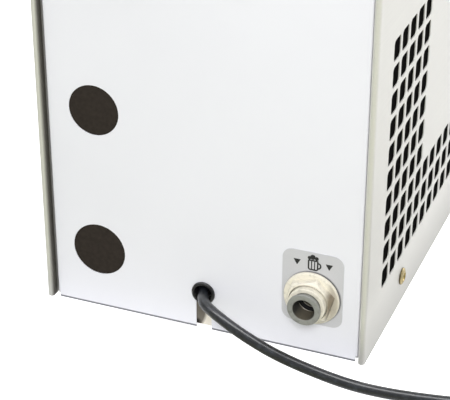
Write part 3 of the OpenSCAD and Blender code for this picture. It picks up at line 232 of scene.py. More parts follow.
def piece(name, grids, body, slot, stands_for=(), wrap_rows=False, finish=None):
    """One object from one or more grids of points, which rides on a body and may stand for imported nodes."""
    points, faces, first = [], [], 0
    for grid in grids:
        rows, columns = grid.shape[:2]
        faces.append(first + grid_faces(rows, columns, wrap_rows))
        points.append(grid.reshape(-1, 3))
        first += rows * columns
    mesh = bpy.data.meshes.new(name)
    mesh.from_pydata(np.concatenate(points).tolist(), [], np.concatenate(faces).tolist())
    return finished(name, mesh, body, slot, stands_for, finish)


def linked(name, data):
    """A new object in the scene."""
    made = bpy.data.objects.new(name, data)
    bpy.context.scene.collection.objects.link(made)
    return made


def finished(name, mesh, body, slot, stands_for=(), finish=None):
    """Merges a mesh's doubles, turns its faces outwards and sets it on its body with its finish."""
    work = bmesh.new()
    work.from_mesh(mesh)
    bmesh.ops.remove_doubles(work, verts=work.verts, dist=1e-7)
    bmesh.ops.dissolve_degenerate(work, edges=work.edges, dist=1e-8)
    bmesh.ops.recalc_face_normals(work, faces=work.faces)
    work.to_mesh(mesh)
    work.free()
    mesh.polygons.foreach_set("use_smooth", [True] * len(mesh.polygons))
    mesh.set_sharp_from_angle(angle=math.radians(38))
    mesh.materials.append(bpy.data.materials[finish or slot])
    made = linked(name, mesh)
    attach(made, body)
    if stands_for:
        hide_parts(*stands_for)
    return made


def closed_ends(rows):
    """Rows of points whose first and last row are drawn together to a point."""
    ends = [np.broadcast_to(rows[i].mean(0), (1, *rows.shape[1:])) for i in (0, -1)]
    return np.concatenate([ends[0], rows, ends[1]])


def capped(outline, high):
    """A closed prism on a flat outline."""
    return closed_ends(np.stack([np.column_stack([outline, np.full(len(outline), z)]) for z in (0, high)]))


def ribbon(line, width, high, closed=False):
    """A flat band along a line: a rectangle across it at each point. It joins itself or has closed ends."""
    p = np.asarray(line, float)
    ahead = unit(np.roll(p, -1, 0) - np.roll(p, 1, 0) if closed else np.gradient(p, axis=0))
    side = np.column_stack([-ahead[:, 1], ahead[:, 0]]) * width / 2
    corners = [(p + side, 0), (p + side, high), (p - side, high), (p - side, 0)]
    rows = np.stack([np.column_stack([q, np.full(len(p), z)]) for q, z in corners], 1)
    return np.concatenate([rows, rows[:1]]) if closed else closed_ends(rows)


def arc(middle, radius, start, stop, count=24):
    """Points on a circle from one angle to another, in degrees."""
    a = np.radians(np.linspace(start, stop, count))
    return np.asarray(middle, float) + radius * np.column_stack([np.cos(a), np.sin(a)])


def hexagon_nut(foot, flat, low, high, chamfer, turned, crown):
    """A nut along Z: its foot's profile, a hexagon's sides, and its crown's profile back down the bore.

    The sides' radius flat / cos(a) gives way smoothly to the circle of the chamfer.
    """
    turns = 144
    a = np.linspace(0, 2 * math.pi, turns, endpoint=False)
    corner = flat / math.cos(math.pi / 6)
    hexagon = flat / np.cos((a - turned + math.pi / 6) % (math.pi / 3) - math.pi / 6)
    z = np.concatenate([np.linspace(low, high - chamfer, 6), np.linspace(high - chamfer, high, 12)[1:]])
    circle = np.interp(z, [low, high - chamfer, high], [1.06 * corner, 1.01 * corner, 0.985 * flat])
    soft = 0.04 * flat
    gap = np.abs(circle[:, None] - hexagon[None])
    r = np.minimum(circle[:, None], hexagon[None]) - soft * np.exp(-gap / soft) / 2.6
    sides = np.stack([r * np.cos(a), r * np.sin(a), np.broadcast_to(z[:, None], r.shape)], -1)
    return np.concatenate([lathe(foot, turns), sides, lathe(crown, turns)])


def soften(node, width, segments=2):
    """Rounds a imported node's edges: its loose triangles are welded, then each sharp edge gets a bevel."""
    shown = NODES[node]
    weld = shown.modifiers.new("Weld", "WELD")
    weld.merge_threshold = 1e-6
    bevel = shown.modifiers.new("Bevel", "BEVEL")
    bevel.width = width
    bevel.segments = segments
    bevel.limit_method = "ANGLE"
    bevel.angle_limit = math.radians(35)
    shown.modifiers.new("Normals", "WEIGHTED_NORMAL")
    shown.data.polygons.foreach_set("use_smooth", [True] * len(shown.data.polygons))


# Finishes

# Where most of a noise's values lie
NOISE_SPAN = (0.3, 0.7)
# Painted shade, other darker or greyer tones, and scuffs
FOOT_BAND_GREY = (0.17, 0.175, 0.20)
# Painted shade in the seam beside the rear panel
SEAM_SHADE = (0.066, 0.058, 0.044)
SCREW_SHADE = (0.12, 0.095, 0.04)
NUT_SIDE_DARK = (0.19, 0.15, 0.10)
BORE_SHADE = (0.013, 0.011, 0.009)
BORE_LOWER_TONE = (0.11, 0.092, 0.06)
SCUFF = (0.030, 0.036, 0.046)
# Height over the sides' foot over which a painted shade fades out
FOOT_SHADE = 28 * MM
SEAM_SPREAD = 1.25 * MM
# Painted light and shade on the lip seen in the lead's slot: a pale pool of painted light, a brown painted
# shade and a small dark painted shadow. In millimetres: place from the grommet, radius, soft rim, and colour
LIP_LIGHT_AND_SHADE = (
    (0, -15, 9, 2, (0.92, 0.87, 0.78)),
    (17.2, -12, 18.4, 0.9, (0.185, 0.165, 0.14)),
    (4.2, -20.3, 1.8, 1, (0.012, 0.010, 0.007)))


def shade(colour, share):
    """A colour made lighter or darker by a share."""
    return tuple(min(1.0, c * (1 + share)) for c in colour)


def feed(tree, socket, value):
    """Leads another node's output to a socket, or sets the socket to a number, a vector or a colour."""
    if hasattr(value, "links"):
        tree.links.new(value, socket)
    else:
        socket.default_value = (*value, 1) if socket.type == "RGBA" else value


def add_node(tree, kind, inputs, output=0, **settings):
    """Adds a node, feeds its inputs by name or number, and gives back one of its outputs."""
    made = tree.nodes.new(f"ShaderNode{kind}")
    for name, value in settings.items():
        setattr(made, name, value)
    for name, value in inputs.items():
        feed(tree, made.inputs[name], value)
    return made.outputs[output]


class Finish:
    """The nodes of one material: patterns on Object coordinates led into one Principled shader."""

    def __init__(self, slot, **constants):
        self.material = bpy.data.materials.get(slot) or bpy.data.materials.new(slot)
        self.material.use_nodes = True
        self.tree = self.material.node_tree
        self.tree.nodes.clear()
        self.shader = self.tree.nodes.new("ShaderNodeBsdfPrincipled")
        out = self.tree.nodes.new("ShaderNodeOutputMaterial")
        feed(self.tree, out.inputs[0], self.shader.outputs[0])
        self.place = self.add("TexCoord", {}, "Object")
        for socket, value in constants.items():
            self.lead(value, socket.replace("_", " ").title().replace("Ior", "IOR"))

    def add(self, kind, inputs, output=0, **settings):
        return add_node(self.tree, kind, inputs, output, **settings)

    def lead(self, value, socket):
        feed(self.tree, self.shader.inputs[socket], value)

    def paint(self, value):
        self.lead(value, "Base Color")

    def placed(self, stretch=(1, 1, 1), shift=(0, 0, 0)):
        return self.add("Mapping", {"Vector": self.place, "Scale": stretch, "Location": shift})

    def noise(self, scale, stretch=(1, 1, 1), detail=3, rough=0.5):
        return self.add("TexNoise", {
            "Vector": self.placed(stretch), "Scale": scale, "Detail": detail, "Roughness": rough}, "Fac")

    def cells(self, scale):
        """Flat cells, each with a tone of its own."""
        colour = self.add("TexVoronoi", {"Vector": self.placed(), "Scale": scale}, "Color")
        return self.add("SeparateColor", {0: colour})

    def axis(self, name):
        """One of the three Object coordinates."""
        return self.add("SeparateXYZ", {0: self.place}, name)

    def below(self, height, soft):
        """1 under a height, 0 over it."""
        return self.ranged(self.axis("Z"), height - soft, height + soft, 1, 0)

    def within(self, x, z, radius, soft):
        """1 within a radius of a line along Y, 0 outside it."""
        spot = self.placed((1, 0, 1), (-x, 0, -z))
        away = self.add("VectorMath", {0: spot}, "Value", operation="LENGTH")
        return self.ranged(away, radius - soft, radius + soft, 1, 0)

    def ranged(self, value, a, b, low, high):
        """Carries the range from a to b to the range from low to high, and holds the ends."""
        return self.add("MapRange", {
            "Value": value, "From Min": a, "From Max": b, "To Min": low, "To Max": high})

    def mixed(self, factor, a, b):
        """Colour a where the factor is 0, colour b where it is 1. Either may be another node's output."""
        return self.add("Mix", {"Factor": factor, 6: a, 7: b}, 2, data_type="RGBA")

    def mottled(self, pattern, colour, darker, lighter, span=NOISE_SPAN):
        """A colour that a pattern makes darker and lighter by a share."""
        return self.mixed(self.ranged(pattern, *span, 0, 1), shade(colour, -darker), shade(colour, lighter))

    def roughness(self, pattern, low, high, span=NOISE_SPAN):
        """Roughness that follows a pattern."""
        self.lead(self.ranged(pattern, *span, low, high), "Roughness")

    def bump(self, height, strength, distance=0.1 * MM):
        """A relief on top of what the shader's normal has already."""
        inputs = {"Strength": strength, "Distance": distance, "Height": height}
        before = self.shader.inputs["Normal"].links
        if before:
            inputs["Normal"] = before[0].from_socket
        self.lead(self.add("Bump", inputs), "Normal")


def powder_coat(slot, colour, band_height):
    """White powder coat: a fine orange peel, faint clouds, and a grey band along the panel's foot."""
    f = Finish(slot, specular_ior_level=0.42)
    coat = f.mottled(f.noise(14, detail=2), colour, 0.012, 0.008)
    f.paint(f.mixed(f.below(PANEL_LOW + band_height, 0.25 * MM), coat, FOOT_BAND_GREY))
    f.roughness(f.noise(260), 0.40, 0.50)
    f.bump(f.noise(1500, detail=2), 0.10, 0.15 * MM)


def satin_sheet(slot, colour, stretch, shaded=False):
    """Satin stainless sheet: short brush lines along one direction, soft clouds, and a painted shade along
    its foot.

    With the flag set, the sheet also has a painted shade on its rear hem, thickest in the seam beside the
    panel.
    """
    f = Finish(slot, metallic=0.5, anisotropic=0.35)
    lines = f.noise(900, stretch, detail=4, rough=0.65)
    tone = f.mottled(lines, colour, 0.030, 0.020, (0.35, 0.65))
    tone = f.mixed(f.ranged(f.noise(9, detail=2), 0.35, 0.75, 0, 0.35), tone, shade(colour, -0.05))
    # Painted shade along the sheet's foot, fading out FOOT_SHADE above it
    foot = f.ranged(f.axis("Z"), SIDE_FOOT, SIDE_FOOT + FOOT_SHADE, 0.55, 0)
    tone = f.mixed(foot, tone, shade(colour, -0.5))
    if shaded:
        # Painted shade on the rear hem, darkest in the seam beside the rear panel
        seam = f.ranged(f.axis("X"), SEAM_X, SEAM_X + SEAM_SPREAD, 0.93, 0)
        hem = f.ranged(f.axis("Y"), PANEL_Y - 2 * MM, PANEL_Y - 1 * MM, 0, 1)
        tone = f.mixed(hem, tone, f.mixed(seam, tone, SEAM_SHADE))
    f.paint(tone)
    f.roughness(lines, 0.36, 0.48)
    f.bump(lines, 0.04, 0.05 * MM)


def zinc_sheet(slot):
    """Hot-dip zinc: flat crystals of unlike grey, with painted light and shade where the lip shows in the
    lead's slot.
    """
    f = Finish(slot, metallic=0.55)
    flakes = f.cells(160)
    tone = f.mixed(flakes, (0.56, 0.57, 0.58), (0.74, 0.75, 0.76))
    # Painted light and shade on the lip where it shows in the lead's slot
    for x, z, radius, soft, colour in LIP_LIGHT_AND_SHADE:
        spot = f.within(GROMMET.x + x * MM, GROMMET.z + z * MM, radius * MM, soft * MM)
        tone = f.mixed(spot, tone, colour)
    f.paint(tone)
    f.roughness(flakes, 0.36, 0.55, (0, 1))
    f.bump(f.noise(420), 0.05)


def yellow_zinc(slot):
    """Yellow passivated zinc: brass yellow that drifts paler, with painted shade in the side screws' rims and
    crosses.
    """
    f = Finish(slot, metallic=0.9)
    drift = f.ranged(f.noise(240, detail=2), 0.35, 0.65, 0, 1)
    plain = f.mixed(drift, (0.42, 0.32, 0.115), (0.70, 0.59, 0.35))
    out = f.add("Math", {0: f.axis("X")}, operation="ABSOLUTE")
    # Painted shade on the side screws' rims and the bottoms of their crosses, the parts close to the sheet
    rim = SIDE_X + 0.6 * MM
    shaded = f.mixed(f.ranged(out, rim, rim + 0.4 * MM, 1, 0), plain, SCREW_SHADE)
    at_side = f.ranged(out, SIDE_X - 2 * MM, SIDE_X - 1 * MM, 0, 1)
    f.paint(f.mixed(at_side, plain, shaded))
    f.roughness(f.noise(900), 0.26, 0.42)
    f.bump(f.noise(1400), 0.08)


def moulded(slot, colour, rough, grain=900, relief=0.10, spread=0.05, **constants):
    """Moulded plastic or rubber: a fine spark-eroded grain with faint flow marks."""
    f = Finish(slot, **constants)
    f.paint(f.mottled(f.noise(70), colour, spread, spread))
    f.roughness(f.noise(grain), rough - 0.06, rough + 0.06)
    f.bump(f.noise(grain), relief)


def bored(slot, colour, rough, worn=False):
    """Moulded plastic of the inlet, with grime in its grain and a painted shade in the bore round its axis,
    lighter brown below.

    With worn set, it also has a painted shade in the groove round the neck and darker brown on the nut's -X
    side.
    """
    f = Finish(slot)
    grime = f.noise(420, detail=4, rough=0.6)
    clean = f.mixed(f.ranged(grime, 0.50, 0.72, 0, 0.55), colour, shade(colour, -0.45))
    if worn:
        # Darker brown towards the nut's -X side, above the flange
        side = f.ranged(f.axis("X"), INLET.x - 11.8 * MM, INLET.x - 8.8 * MM, 0.95, 0)
        over_flange = f.ranged(f.axis("Y"), PANEL_Y + 2.3 * MM, PANEL_Y + 3.1 * MM, 0, 1)
        side_darkened = f.mixed(over_flange, clean, f.mixed(side, clean, NUT_SIDE_DARK))
        # Painted shade in the groove round the neck
        groove = f.mixed(f.within(INLET.x, INLET.z, 11.2 * MM, 0.15 * MM), side_darkened, shade(colour, -0.6))
        clean = f.mixed(f.within(INLET.x, INLET.z, NUT_BORE - 0.02 * MM, 0.03 * MM), groove, clean)
    # Painted shade in the bore, turning lighter brown in its lower part
    bore = f.mixed(f.below(INLET.z - 4.3 * MM, 1.4 * MM), BORE_SHADE, BORE_LOWER_TONE)
    f.paint(f.mixed(f.within(INLET.x, INLET.z, TUBE_HOLE, 0.15 * MM), clean, bore))
    f.roughness(f.noise(900), rough - 0.06, rough + 0.06)
    f.bump(f.noise(900), 0.1)


def sheath(slot, colour):
    """Black PVC sheath: a soft gloss, with the slow ripple of the cores under it."""
    f = Finish(slot, coat_weight=0.4, coat_roughness=0.2)
    scuff = f.noise(340, detail=4)
    f.paint(f.mixed(f.ranged(scuff, 0.5, 0.8, 0, 1), colour, SCUFF))
    f.roughness(scuff, 0.26, 0.42)
    f.bump(f.noise(120, detail=2), 0.12, 0.3 * MM)
    f.bump(f.noise(1800), 0.06, 0.05 * MM)


def film(slot, colour):
    """Silver label film: a flat satin grey with a faint metallic fleck and a painted contact shadow in a ring
    round the nut.
    """
    f = Finish(slot, metallic=0.15)
    fleck = f.noise(2600, detail=1)
    # Painted contact shadow in a thin ring just outside the nut's flange
    contact_shadow = f.within(INLET.x - 0.4 * MM, INLET.z, 16.1 * MM, 0.5 * MM)
    f.paint(f.mixed(contact_shadow, f.mottled(fleck, colour, 0.02, 0.02), shade(colour, -0.75)))
    f.roughness(f.noise(300), 0.34, 0.46)
    f.bump(fleck, 0.03, 0.05 * MM)


def bright_metal(slot, colour, rough, stain, lines=(1, 1, 1)):
    """Polished or drawn metal: faint wipe marks and a little staining."""
    f = Finish(slot, metallic=1.0)
    marks = f.noise(500, lines, detail=4)
    f.paint(f.mixed(f.ranged(f.noise(38), 0.4, 0.75, 0, 1), colour, stain))
    f.roughness(marks, rough, rough + 0.10, (0.3, 0.75))
    f.bump(marks, 0.015, 0.05 * MM)


def painted(slot, colour, rough):
    """Enamel on metal: slight runs and an even gloss."""
    f = Finish(slot, coat_weight=0.3, coat_roughness=0.12)
    f.paint(f.mottled(f.noise(55, (1, 1, 0.3), detail=2), colour, 0.2, 0.2))
    f.roughness(f.noise(400), rough - 0.05, rough + 0.08)
    f.bump(f.noise(700), 0.06)


def foam_cells(slot, colour):
    """Closed-cell foam: small pits over a dull skin."""
    f = Finish(slot, roughness=0.9, specular_ior_level=0.2)
    pits = f.cells(700)
    f.paint(f.mottled(pits, colour, 0.25, 0.25, (0, 1)))
    f.bump(pits, 0.4, 0.4 * MM)


def matt_backing(slot, colour, grain):
    """Pressed fibre or woven gauze: no gloss, with a fine tooth."""
    f = Finish(slot, roughness=0.95, specular_ior_level=0.02)
    tooth = f.noise(grain)
    f.paint(f.mottled(tooth, colour, 0.12, 0.12))
    f.bump(tooth, 0.15, 0.2 * MM)


def hook_strap(slot, colour):
    """Hook-and-loop strap: a short pile with a woven rib."""
    f = Finish(slot, roughness=0.95, sheen_weight=0.4, specular_ior_level=0.15)
    pile = f.noise(2600, detail=2)
    f.paint(f.mottled(pile, colour, 0.4, 0.4, (0, 1)))
    f.bump(pile, 0.6, 0.3 * MM)
    f.bump(f.noise(500, (1, 6, 6)), 0.3, 0.3 * MM)


class DISPENSER_OT_finishes(bpy.types.Operator):
    """Give every finish its colour, grain and gloss"""
    bl_idname = "dispenser.finishes"
    bl_label = "Finishes"

    def execute(self, context):
        casing = context.scene.dispenser_casing
        lead = context.scene.dispenser_lead
        fitting = context.scene.dispenser_fitting
        powder_coat("white_coat", casing.coat_colour, casing.bare_edge)
        satin_sheet("satin_steel", casing.steel_colour, (1, 0.02, 1))
        satin_sheet("satin_steel_across", casing.steel_colour, (0.02, 1, 1))
        satin_sheet("satin_steel_seam_shaded", casing.steel_colour, (1, 0.02, 1), shaded=True)
        zinc_sheet("galvanised")
        yellow_zinc("yellow_zinc")
        moulded("black_rubber", (0.014, 0.014, 0.015), 0.36, grain=1200, relief=0.12)
        film("silver_label", fitting.label_grey)
        bored("ivory_plastic", fitting.ivory, 0.40, worn=True)
        bored("grey_plastic", fitting.collet_grey, 0.36)
        moulded("clear_tube", (0.62, 0.65, 0.66), 0.22, spread=0.03, transmission_weight=0.35)
        sheath("cord_black", lead.sheath_colour)
        hook_strap("tie_grey", (0.07, 0.072, 0.08))
        moulded("plug_black", (0.018, 0.018, 0.020), 0.42, grain=1500, relief=0.25)
        moulded("black_plastic", (0.018, 0.018, 0.020), 0.45, grain=1400, relief=0.2)
        moulded("grey_housing", (0.42, 0.42, 0.40), 0.5)
        painted("black_enamel", (0.012, 0.012, 0.013), 0.28)
        painted("black_fins", (0.012, 0.012, 0.013), 0.5)
        bright_metal("copper", (0.72, 0.36, 0.22), 0.22, (0.42, 0.20, 0.12))
        bright_metal("cast_aluminium", (0.66, 0.67, 0.68), 0.42, (0.50, 0.51, 0.52))
        bright_metal("stainless_tube", (0.66, 0.67, 0.68), 0.22, (0.56, 0.56, 0.56), (1, 0.05, 1))
        foam_cells("dark_foam", (0.035, 0.037, 0.040))
        matt_backing("port_fibre", (0.034, 0.028, 0.024), 400)
        # Near black: painted shade for the dark inside seen through the vents
        matt_backing("screen_shade_black", (0.0016, 0.0012, 0.001), 1500)
        bright_metal("chrome", (0.78, 0.79, 0.80), 0.05, (0.72, 0.73, 0.75))
        bright_metal("steel_pin", (0.56, 0.57, 0.58), 0.25, (0.46, 0.47, 0.48))
        moulded("mark_white", (0.78, 0.78, 0.77), 0.5, grain=1600)
        moulded("grip_black", (0.014, 0.014, 0.015), 0.22, grain=1600, relief=0.05, coat_weight=0.4,
                coat_roughness=0.08)
        return {"FINISHED"}


# Mains lead

# Route of the free lead: sideways from its hole, out from the rear panel, and its height as a share of the
# hole's height over a lead lying on the table
LEAD_ROUTE = np.array([
    (0, 0, 1), (-1.6, 5, 1.004), (-5.3, 11.2, 1.011), (-11, 16, 1.011), (-18, 20.2, 0.985),
    (-27, 23.4, 0.896), (-38, 24.8, 0.735), (-49.5, 24.2, 0.537), (-61, 22.4, 0.351), (-73, 20.3, 0.187),
    (-85, 18.9, 0.067), (-97, 18.5, 0.011), (-110, 18.2, 0), (-123, 17.1, 0), (-136, 15.2, 0),
    (-149, 12.7, 0), (-162, 10, 0.012), (-175, 7.6, 0.039), (-187, 6.2, 0.056), (-195, 6.2, 0.056)])
LEAD_CLEAR = 0.1 * MM
LEAD_SIDES = 20
COIL_RADIUS = 47 * MM
COIL_TURNS = 3.625
TURN_GAP = 0.8 * MM
LAYER_GAP = 0.6 * MM
COIL_RINGS = 56
TAIL_LENGTH = 34 * MM
PLUG_RADIUS = 17 * MM


def smoothed(points, steps):
    """Catmull-Rom curve through points, with its first and last stretch left straight."""
    a, b, c, d = points[:-3, None], points[1:-2, None], points[2:-1, None], points[3:, None]
    t = (np.arange(steps) / steps)[None, :, None]
    curve = 0.5 * (2 * b + (c - a) * t + (2 * a - 5 * b + 4 * c - d) * t ** 2
                   + (3 * b - a - 3 * c + d) * t ** 3)
    return np.concatenate([points[:1], curve.reshape(-1, 3), points[-2:]])


def lead_paths(diameter):
    """The lead's three stretches: from the grommet to the coil, the coil's two layers, and the tail."""
    rest = diameter / 2 + LEAD_CLEAR
    free = smoothed(LEAD_ROUTE * (MM, MM, GROMMET.z - rest) + (GROMMET.x, PANEL_Y, rest), 8)
    start = free[-1] - (diameter, 0, 0)
    middle = start - (0, COIL_RADIUS, 0)
    u = np.linspace(0, 2 * COIL_TURNS, int(2 * COIL_TURNS * COIL_RINGS) + 1)
    r = COIL_RADIUS - (diameter + TURN_GAP) * (COIL_TURNS - np.abs(u - COIL_TURNS))
    angle = math.pi / 2 + 2 * math.pi * u
    t = np.clip((u - COIL_TURNS) * 2 + 0.5, 0, 1)
    climb = t * t * (3 - 2 * t)
    coil = np.column_stack([middle[0] + r * np.cos(angle), middle[1] + r * np.sin(angle),
                            start[2] + (diameter + LAYER_GAP) * climb])
    end = coil[-1] - (0, diameter, 0)
    plug_y = end[1] - TAIL_LENGTH
    tail = smoothed(np.array([
        end, end - (0, 6 * MM, 0), end + (0, -14 * MM, 1.5 * MM),
        (end[0], plug_y + 7 * MM, PLUG_RADIUS), (end[0], plug_y, PLUG_RADIUS)]), 8)
    return free, coil, tail


def swept(path, radius):
    """A round tube: at each point a ring of the radius, square to the path, whose first corner points up."""
    ahead = unit(np.gradient(path, axis=0))
    side = unit(np.cross(ahead, (0, 0, 1)))
    up = np.cross(side, ahead)
    a = np.linspace(0, 2 * math.pi, LEAD_SIDES, endpoint=False)
    rings = path[:, None] + radius * (np.cos(a)[None, :, None] * up[:, None]
                                      + np.sin(a)[None, :, None] * side[:, None])
    return closed_ends(rings)


class DISPENSER_OT_mains_lead(bpy.types.Operator):
    """Lay the mains lead with its tie and plug"""
    bl_idname = "dispenser.mains_lead"
    bl_label = "Mains lead"

    def execute(self, context):
        lead = context.scene.dispenser_lead
        free, coil, tail = lead_paths(lead.diameter)
        path = np.concatenate([free, coil, tail])
        cord = piece("mains_lead", [swept(path, lead.diameter / 2)], "casing", "cord_black",
                     ("mains_cord", "mains_cord_coil", "mains_cord_tail"))
        tie = self.tie()
        plug = self.plug(tail[-1])
        pins = self.pins()
        return {"FINISHED"}

    def tie(self):
        """A flat strap carried round a rounded rectangle that takes in every turn of the coil."""
        low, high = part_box("coil_tie")
        # Half the strap's width and half its thickness
        w, t = (high.x - low.x) / 2, 0.5 * MM
        line = rounded_box((low.y + t, low.z + t), (high.y - t, high.z - t), 4.5 * MM, 8)
        ahead = unit(np.roll(line, -1, 0) - np.roll(line, 1, 0))
        out = np.column_stack([ahead[:, 1], -ahead[:, 0]])
        section = rounded_box((-w, -t), (w, t), 0.3 * MM, 3)
        x = np.broadcast_to(low.x + w + section[:, :1], (len(line), len(section), 1))
        yz = line[:, None] + section[:, 1:] * out[:, None]
        strap = np.concatenate([x, yz], -1)
        return piece("coil_strap", [strap], "casing", "tie_grey", ("coil_tie",), wrap_rows=True)

    def plug(self, at):
        """The moulded plug, in millimetres: a ribbed, tapered relief, a waisted grip and a flat face."""
        low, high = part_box("plug_body")
        total = (high.y - low.y) / MM
        relief, thin, wide, rib, pitch = 26, 4.6, 6.7, 0.45, 4
        z = np.linspace(0, relief, 60)
        taper = thin + (wide - thin) * z / relief + rib * np.cos(z / pitch * 2 * math.pi)
        face = PLUG_RADIUS / MM
        grip = rounded([
            (wide, relief), (11, relief), (14, 31), (12.5, 40), (16, 48), (face, 51), (face, total),
            (0, total)], [0.5, 2, 8, 5, 2, 1.2])
        profile = np.concatenate([[(0, 0)], np.column_stack([taper, z]), grip]) * MM
        made = lathe(profile) @ TO_FRONT + at
        return piece("mains_plug", [made], "casing", "plug_black", ("plug_body",))

    def pins(self):
        """Two round pins with domed tips."""
        low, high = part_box("plug_pins")
        r = (high.z - low.z) / 2
        long = high.y - low.y
        profile = rounded([(0, 0), (r, 0), (r, long), (0, long)], [0, 1.6 * MM], 8)
        pin = lathe(profile, 32) @ TO_FRONT
        made = [pin + (x, high.y, low.z + r) for x in (low.x + r, high.x - r)]
        return piece("mains_plug_pins", made, "casing", "chrome", ("plug_pins",))


# Casing

HEAD_RADIUS = 5 * MM
SHANK_RADIUS = 2 * MM
SIDE_SHANK = 4.3 * MM
CROSS_DEPTH = 1.5 * MM


def heads(low, high):
    """Places of the first and last screw in a row from one edge to another."""
    return low + HEAD_RADIUS, high - HEAD_RADIUS


def fading(away, reach, soft):
    """1 up to a soft stretch short of a reach, falling to 0 at the reach."""
    return np.clip((reach - away) / soft, 0, 1)


class DISPENSER_OT_casing(bpy.types.Operator):
    """Round the sheet edges and fit screws, grommet and backings"""
    bl_idname = "dispenser.casing"
    bl_label = "Casing"

    def execute(self, context):
        casing = context.scene.dispenser_casing
        for part in ("left_side", "right_side", "rear", "front", "top"):
            soften(f"{part}_panel", casing.edge_round)
        soften("base_plate", casing.edge_round)
        NODES["front_panel"].data.materials[0] = bpy.data.materials["satin_steel_across"]
        NODES[SEAM_SIDE].data.materials[0] = bpy.data.materials["satin_steel_seam_shaded"]
        soften("rubber_feet", 1.2 * MM, 3)
        self.screws(casing.screw_dome)
        self.grommet()
        self.blinds()
        self.screens()
        return {"FINISHED"}

    def blinds(self):
        """Two dark fibre discs with rounded rims, fixed behind the rear panel's round ports."""
        thick, overlap, edge = 1.4 * MM, 3.5 * MM, 0.4 * MM
        made = []
        for z, port_r in PORTS:
            r = port_r + overlap
            profile = rounded([(0, 0), (r, 0), (r, thick), (0, thick)], [edge, edge])
            made.append(lathe(profile, 64) @ TO_BACK + (PORT_X, PANEL_Y - SHEET - thick, z))
        piece("port_blinds", made, "casing", "dark_foam", finish="port_fibre")

    def screens(self):
        """A black wire screen behind each vented side: a flat plate with a rounded outline, coloured near
        black as painted shade for the dark inside seen through the vents.
        """
        thick, clear = 0.8 * MM, 0.2 * MM
        corners = [(PANEL_Y - depth, z) for depth, z in zip(VENT_DEPTHS, VENT_HEIGHTS)]
        plate = capped(rounded_box(*corners, 6 * MM), thick)[..., [2, 0, 1]]
        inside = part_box("left_side_panel")[0].x + SHEET + clear
        made = [plate + (x, 0, 0) for x in (inside, -inside - thick)]
        piece("vent_screens", made, "casing", "black_plastic", finish="screen_shade_black")

    def screws(self, dome):
        """Pan-head screws where the nodes' own stand: two on each side and four on the top."""
        low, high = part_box("side_screws")
        screw, z = self.screw(dome, SIDE_SHANK), (low.z + high.z) / 2
        faces = ((1, high.x - dome), (-1, low.x + dome))
        made = [screw @ TO_SIDE[sign] + (x, y, z) for sign, x in faces for y in heads(low.y, high.y)]
        piece("side_screw_set", made, "casing", "yellow_zinc", ("side_screws",))
        low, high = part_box("top_screws")
        screw, z = self.screw(dome, high.z - low.z - dome), high.z - dome
        made = [screw + (x, y, z) for x in heads(low.x, high.x) for y in heads(low.y, high.y)]
        piece("top_screw_set", made, "casing", "yellow_zinc", ("top_screws",))

    def screw(self, dome, shank):
        """A domed head less a cross whose arms fade out along their length and a cone where they meet."""
        flat = 0.62 * HEAD_RADIUS
        radii = np.array([0.4, 0.1, 0.25, 0.7, 1.6]) * MM
        profile = rounded([
            (0, -shank), (SHANK_RADIUS, -shank), (SHANK_RADIUS, 0), (HEAD_RADIUS, 0),
            (HEAD_RADIUS, dome / 2), (flat, dome), (0, dome)], radii, 6)
        # The flat on top gets rows of its own, close enough for the cross
        inner = np.linspace(flat, 0, 14)[1:]
        top = profile[:-1][profile[:-1, 0] > 0.3 * HEAD_RADIUS]
        keep = np.concatenate([profile[profile[:, 1] < 1e-9], top[top[:, 1] > 1e-9],
                               np.column_stack([inner, np.full(len(inner), dome)])])
        points = lathe(keep)
        x, y = np.abs(points[..., 0]), np.abs(points[..., 1])
        arm = fading(np.minimum(x, y), 0.72 * MM, 0.25 * MM)
        reach = fading(np.maximum(x, y), 2.4 * MM, 0.9 * MM)
        cone = fading(np.hypot(x, y), 2.3 * MM, 0.7 * MM)
        sunk = CROSS_DEPTH * np.maximum(arm * reach, cone)
        points[..., 2] -= np.where(points[..., 2] > 0.6 * dome, sunk, 0)
        return points

    def grommet(self):
        """The cable grommet: two round lips joined by a neck in the panel's hole."""
        low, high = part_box("cable_grommet")
        outer = (high.x - low.x) / 2
        neck, bore = outer - 0.75 * MM, 5.1 * MM
        y0, y1 = low.y - PANEL_Y, high.y - PANEL_Y
        ring = rounded([
            (bore, 0), (bore, y0), (outer, y0), (outer, -SHEET), (neck, -SHEET), (neck, 0), (outer, 0),
            (outer, y1), (bore, y1), (bore, 0)],
            np.array([0.7, 0.8, 0.8, 0.1, 0.1, 0.4, 0.9, 0.8]) * MM)[:-1]
        made = lathe(ring) @ TO_BACK + (GROMMET.x, PANEL_Y, GROMMET.z)
        piece("cable_grommet_ring", [made], "casing", "black_rubber", ("cable_grommet",), wrap_rows=True)


# Beer inlet

# Angle of one of the nut's flats about its axis
NUT_TURN = math.radians(45.5)


